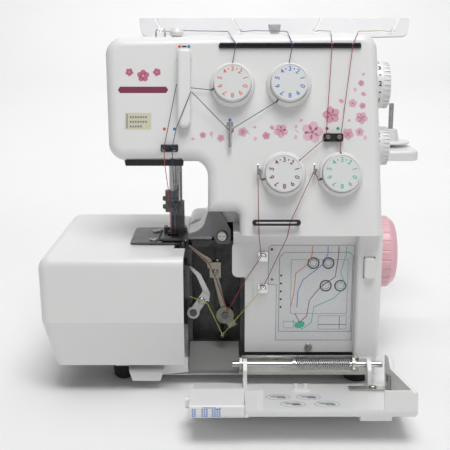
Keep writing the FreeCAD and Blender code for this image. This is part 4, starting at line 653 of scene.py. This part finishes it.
def paint_strands(node, inks, end, limit):
    """Inks for a node's two strands; the second's end, min or max in x, lies right of the limit."""
    mesh = nodes[node].data
    mesh.materials.clear()
    for material in inks:
        mesh.materials.append(material)
    strand_of = {}
    for island in islands(mesh):
        second = end(x for _, x in island) > at(limit, 0, 0).x
        for index, _ in island:
            strand_of[index] = int(second)
    for polygon in mesh.polygons:
        polygon.material_index = strand_of[polygon.vertices[0]]


paint_strands("needle_threads", (RED_YARN, BLUE_YARN), min, -52)
paint_strands("looper_threads", (MAROON_YARN, LIME_YARN), max, 120)


def paint_region(node, material, low, high):
    """A material of their own for a node's faces whose middles lie between two bench points."""
    mesh = nodes[node].data
    mesh.materials.append(material)
    start, end = at(*low), at(*high)
    for polygon in mesh.polygons:
        if all(start[k] <= polygon.center[k] <= end[k] for k in range(3)):
            polygon.material_index = len(mesh.materials) - 1


# Painted shade: the white tray's faces in the chute are given the dark grey, for the shade in its coved
# back.
paint_region("base_tray", CHUTE_SHADE, (-31.5, -14, 9.5), (12.5, 18.5, 28.5))


STRAND_STEP, STRAND_RADIUS, STRAND_SIDES = 0.0015, 0.3 / 1000, 8       # metres


def strand(name, points, material, body=None):
    """A thread from point to point as a fine tube; it rides on a body or, without one, stays fixed in the
    scene.
    """
    path = []
    for start, end in zip(points, points[1:]):
        steps = max(1, int((end - start).length / STRAND_STEP))
        path += [start.lerp(end, k / steps) for k in range(steps)]
    path.append(points[-1])
    angles = [2 * math.pi * k / STRAND_SIDES for k in range(STRAND_SIDES)]
    bm = bmesh.new()
    rings = []
    for i, here in enumerate(path):
        way = (path[min(i + 1, len(path) - 1)] - path[max(i - 1, 0)]).normalized()
        side = way.cross(Vector((1, 0, 0))).normalized()
        up = way.cross(side)
        rings.append([bm.verts.new(here + (side * math.cos(a) + up * math.sin(a)) * STRAND_RADIUS)
                      for a in angles])
    for one, two in zip(rings, rings[1:]):
        for k in range(STRAND_SIDES):
            n = (k + 1) % STRAND_SIDES
            bm.faces.new((one[k], one[n], two[n], two[k])).smooth = True
    bm.faces.new(rings[0][::-1])
    bm.faces.new(rings[-1])
    bmesh.ops.recalc_face_normals(bm, faces=bm.faces)
    thing = new_object(name, mesh_of(bm, name), material)
    if body:
        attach(thing, body)
    else:
        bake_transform(thing)


strand("needle_strand_left",
       [on_face(-49, 67, 7.7), at(-48.8, -9.5, 191), at(-47.6, 8, 168), at(-46.8, 12.6, 150),
        at(-46.5, 16.4, 131), at(-46.4, 17.6, 127.9), at(-46.4, 19.6, 127.6)],
       RED_YARN)
strand("needle_strand_right",
       [on_face(-42.5, 67, 7.7), at(-42.4, -9.5, 191), at(-42.6, 8, 168), at(-42.8, 12.4, 150),
        at(-43, 16.4, 132), at(-43, 17.6, 129), at(-43, 19.6, 128.8)],
       BLUE_YARN)
strand("upper_looper_lead", [at(30.4, -5.2, 112), at(17, -1.2, 90), at(2.2, 2.6, 61)],
       MAROON_YARN, body="housing")
strand("upper_looper_strand",
       [at(2.2, 2.6, 61), at(-8.4, 2.8, 92), at(-13.6, 3, 103.4), at(-22.6, 4.5, 111.8),
        at(-30.4, 4.5, 118.7)],
       MAROON_YARN)
strand("lower_looper_lead", [at(31.5, -5.2, 84), at(15, -1, 62), at(-2.2, 4.6, 39)],
       LIME_YARN, body="housing")
strand("lower_looper_strand",
       [at(-2.2, 4.6, 39), at(-15, 8.2, 66), at(-20.4, 8.2, 68.6), at(-32.6, 10, 73)],
       LIME_YARN)

# ---------------------------------------------------------------- hinge spring and small parts

# The spring is a copy of the part's mesh, with a mesh of its own, that rides on the housing; the part
# itself is hidden.
spring = bpy.data.objects.new("hinge_coil", nodes["hinge_spring"].data.copy())
spring.matrix_world = nodes["hinge_spring"].matrix_world.copy()
scene.collection.objects.link(spring)
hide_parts("hinge_spring")
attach(spring, "housing")
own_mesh(spring)

post = Print(upright(38))
post.rect(-3.2, 36.2, -1.2, 40.6, thick=33)
post.done("looper_eyelet_post", "housing", OLIVE)
eyelet = Print(upright(5.6))
eyelet.ring(-2.2, 39, 2, 0.9, thick=0.8)
eyelet.done("looper_eyelet", "housing", CHROME)
# Painted shade: a black sheet under the front of the head stands for the shade in the opening beneath it.
underside_shade = Print(upright(5))
underside_shade.slab([(-82, 187.4), (-34.5, 187.4), (-34, 192.6), (-83, 192.6)], thick=1.8)
underside_shade.done("head_underside_shade", "housing", BLACK)

# ---------------------------------------------------------------- camera, light and floor

CAMERA_TILT = 13.4           # degrees below the horizontal

camera_data = bpy.data.cameras.new("camera")
camera_data.sensor_width = 36
camera_data.lens = 66.96
camera = bpy.data.objects.new("camera", camera_data)
camera.location = at(0, -680, 300)
camera.rotation_euler = (math.radians(90 - CAMERA_TILT), 0, 0)
scene.collection.objects.link(camera)
scene.camera = camera

paper = Shader("studio_paper")
paper.link(paper.mix(paper.noise(3, 2), (0.86, 0.86, 0.86), (0.88, 0.88, 0.88)),
           paper.bsdf.inputs["Base Color"])
paper.set(Roughness=0.9)

# A sheet of paper, in metres, that lies flat under the machine and sweeps up behind it.
SWEEP = ((-3.0, 0.0), (1.2, 0.0), (1.9, 0.12), (2.4, 0.5), (2.6, 1.1), (2.65, 4.0))
SWEEP_HALF_WIDTH = 4.0
floor_bm = bmesh.new()
pairs = [[floor_bm.verts.new((x, y, z)) for x in (-SWEEP_HALF_WIDTH, SWEEP_HALF_WIDTH)] for y, z in SWEEP]
for (left, right), (next_left, next_right) in zip(pairs, pairs[1:]):
    floor_bm.faces.new((left, right, next_right, next_left)).smooth = True
floor = new_object("studio_floor", mesh_of(floor_bm, "floor"), paper.material)


def softbox(name, place, aim, size, power):
    """A rectangular lamp at a place, in metres, that faces its aim."""
    light = bpy.data.lights.new(name, "AREA")
    light.shape = "RECTANGLE"
    light.size, light.size_y = size
    light.energy = power
    lamp = bpy.data.objects.new(name, light)
    lamp.location = place
    lamp.rotation_euler = (Vector(aim) - Vector(place)).to_track_quat("-Z", "Y").to_euler()
    scene.collection.objects.link(lamp)


softbox("key", (0.15, -0.75, 1.75), (0, 0, 0.15), (0.9, 0.8), 19)
softbox("fill", (1.3, -1.3, 1.0), (0, 0, 0.15), (1.0, 1.2), 1.5)
softbox("top", (0, 0.1, 1.6), (0, 0, 0.1), (1.2, 1.0), 4)
softbox("backdrop", (0, 0.9, 1.9), (0, 2.6, 0.6), (2.4, 0.8), 30)
world = bpy.data.worlds.new("studio")
world.use_nodes = True
world.node_tree.nodes["Background"].inputs["Color"].default_value = (1, 1, 1, 1)
world.node_tree.nodes["Background"].inputs["Strength"].default_value = 0.26
scene.world = world
scene.view_settings.view_transform = "Standard"
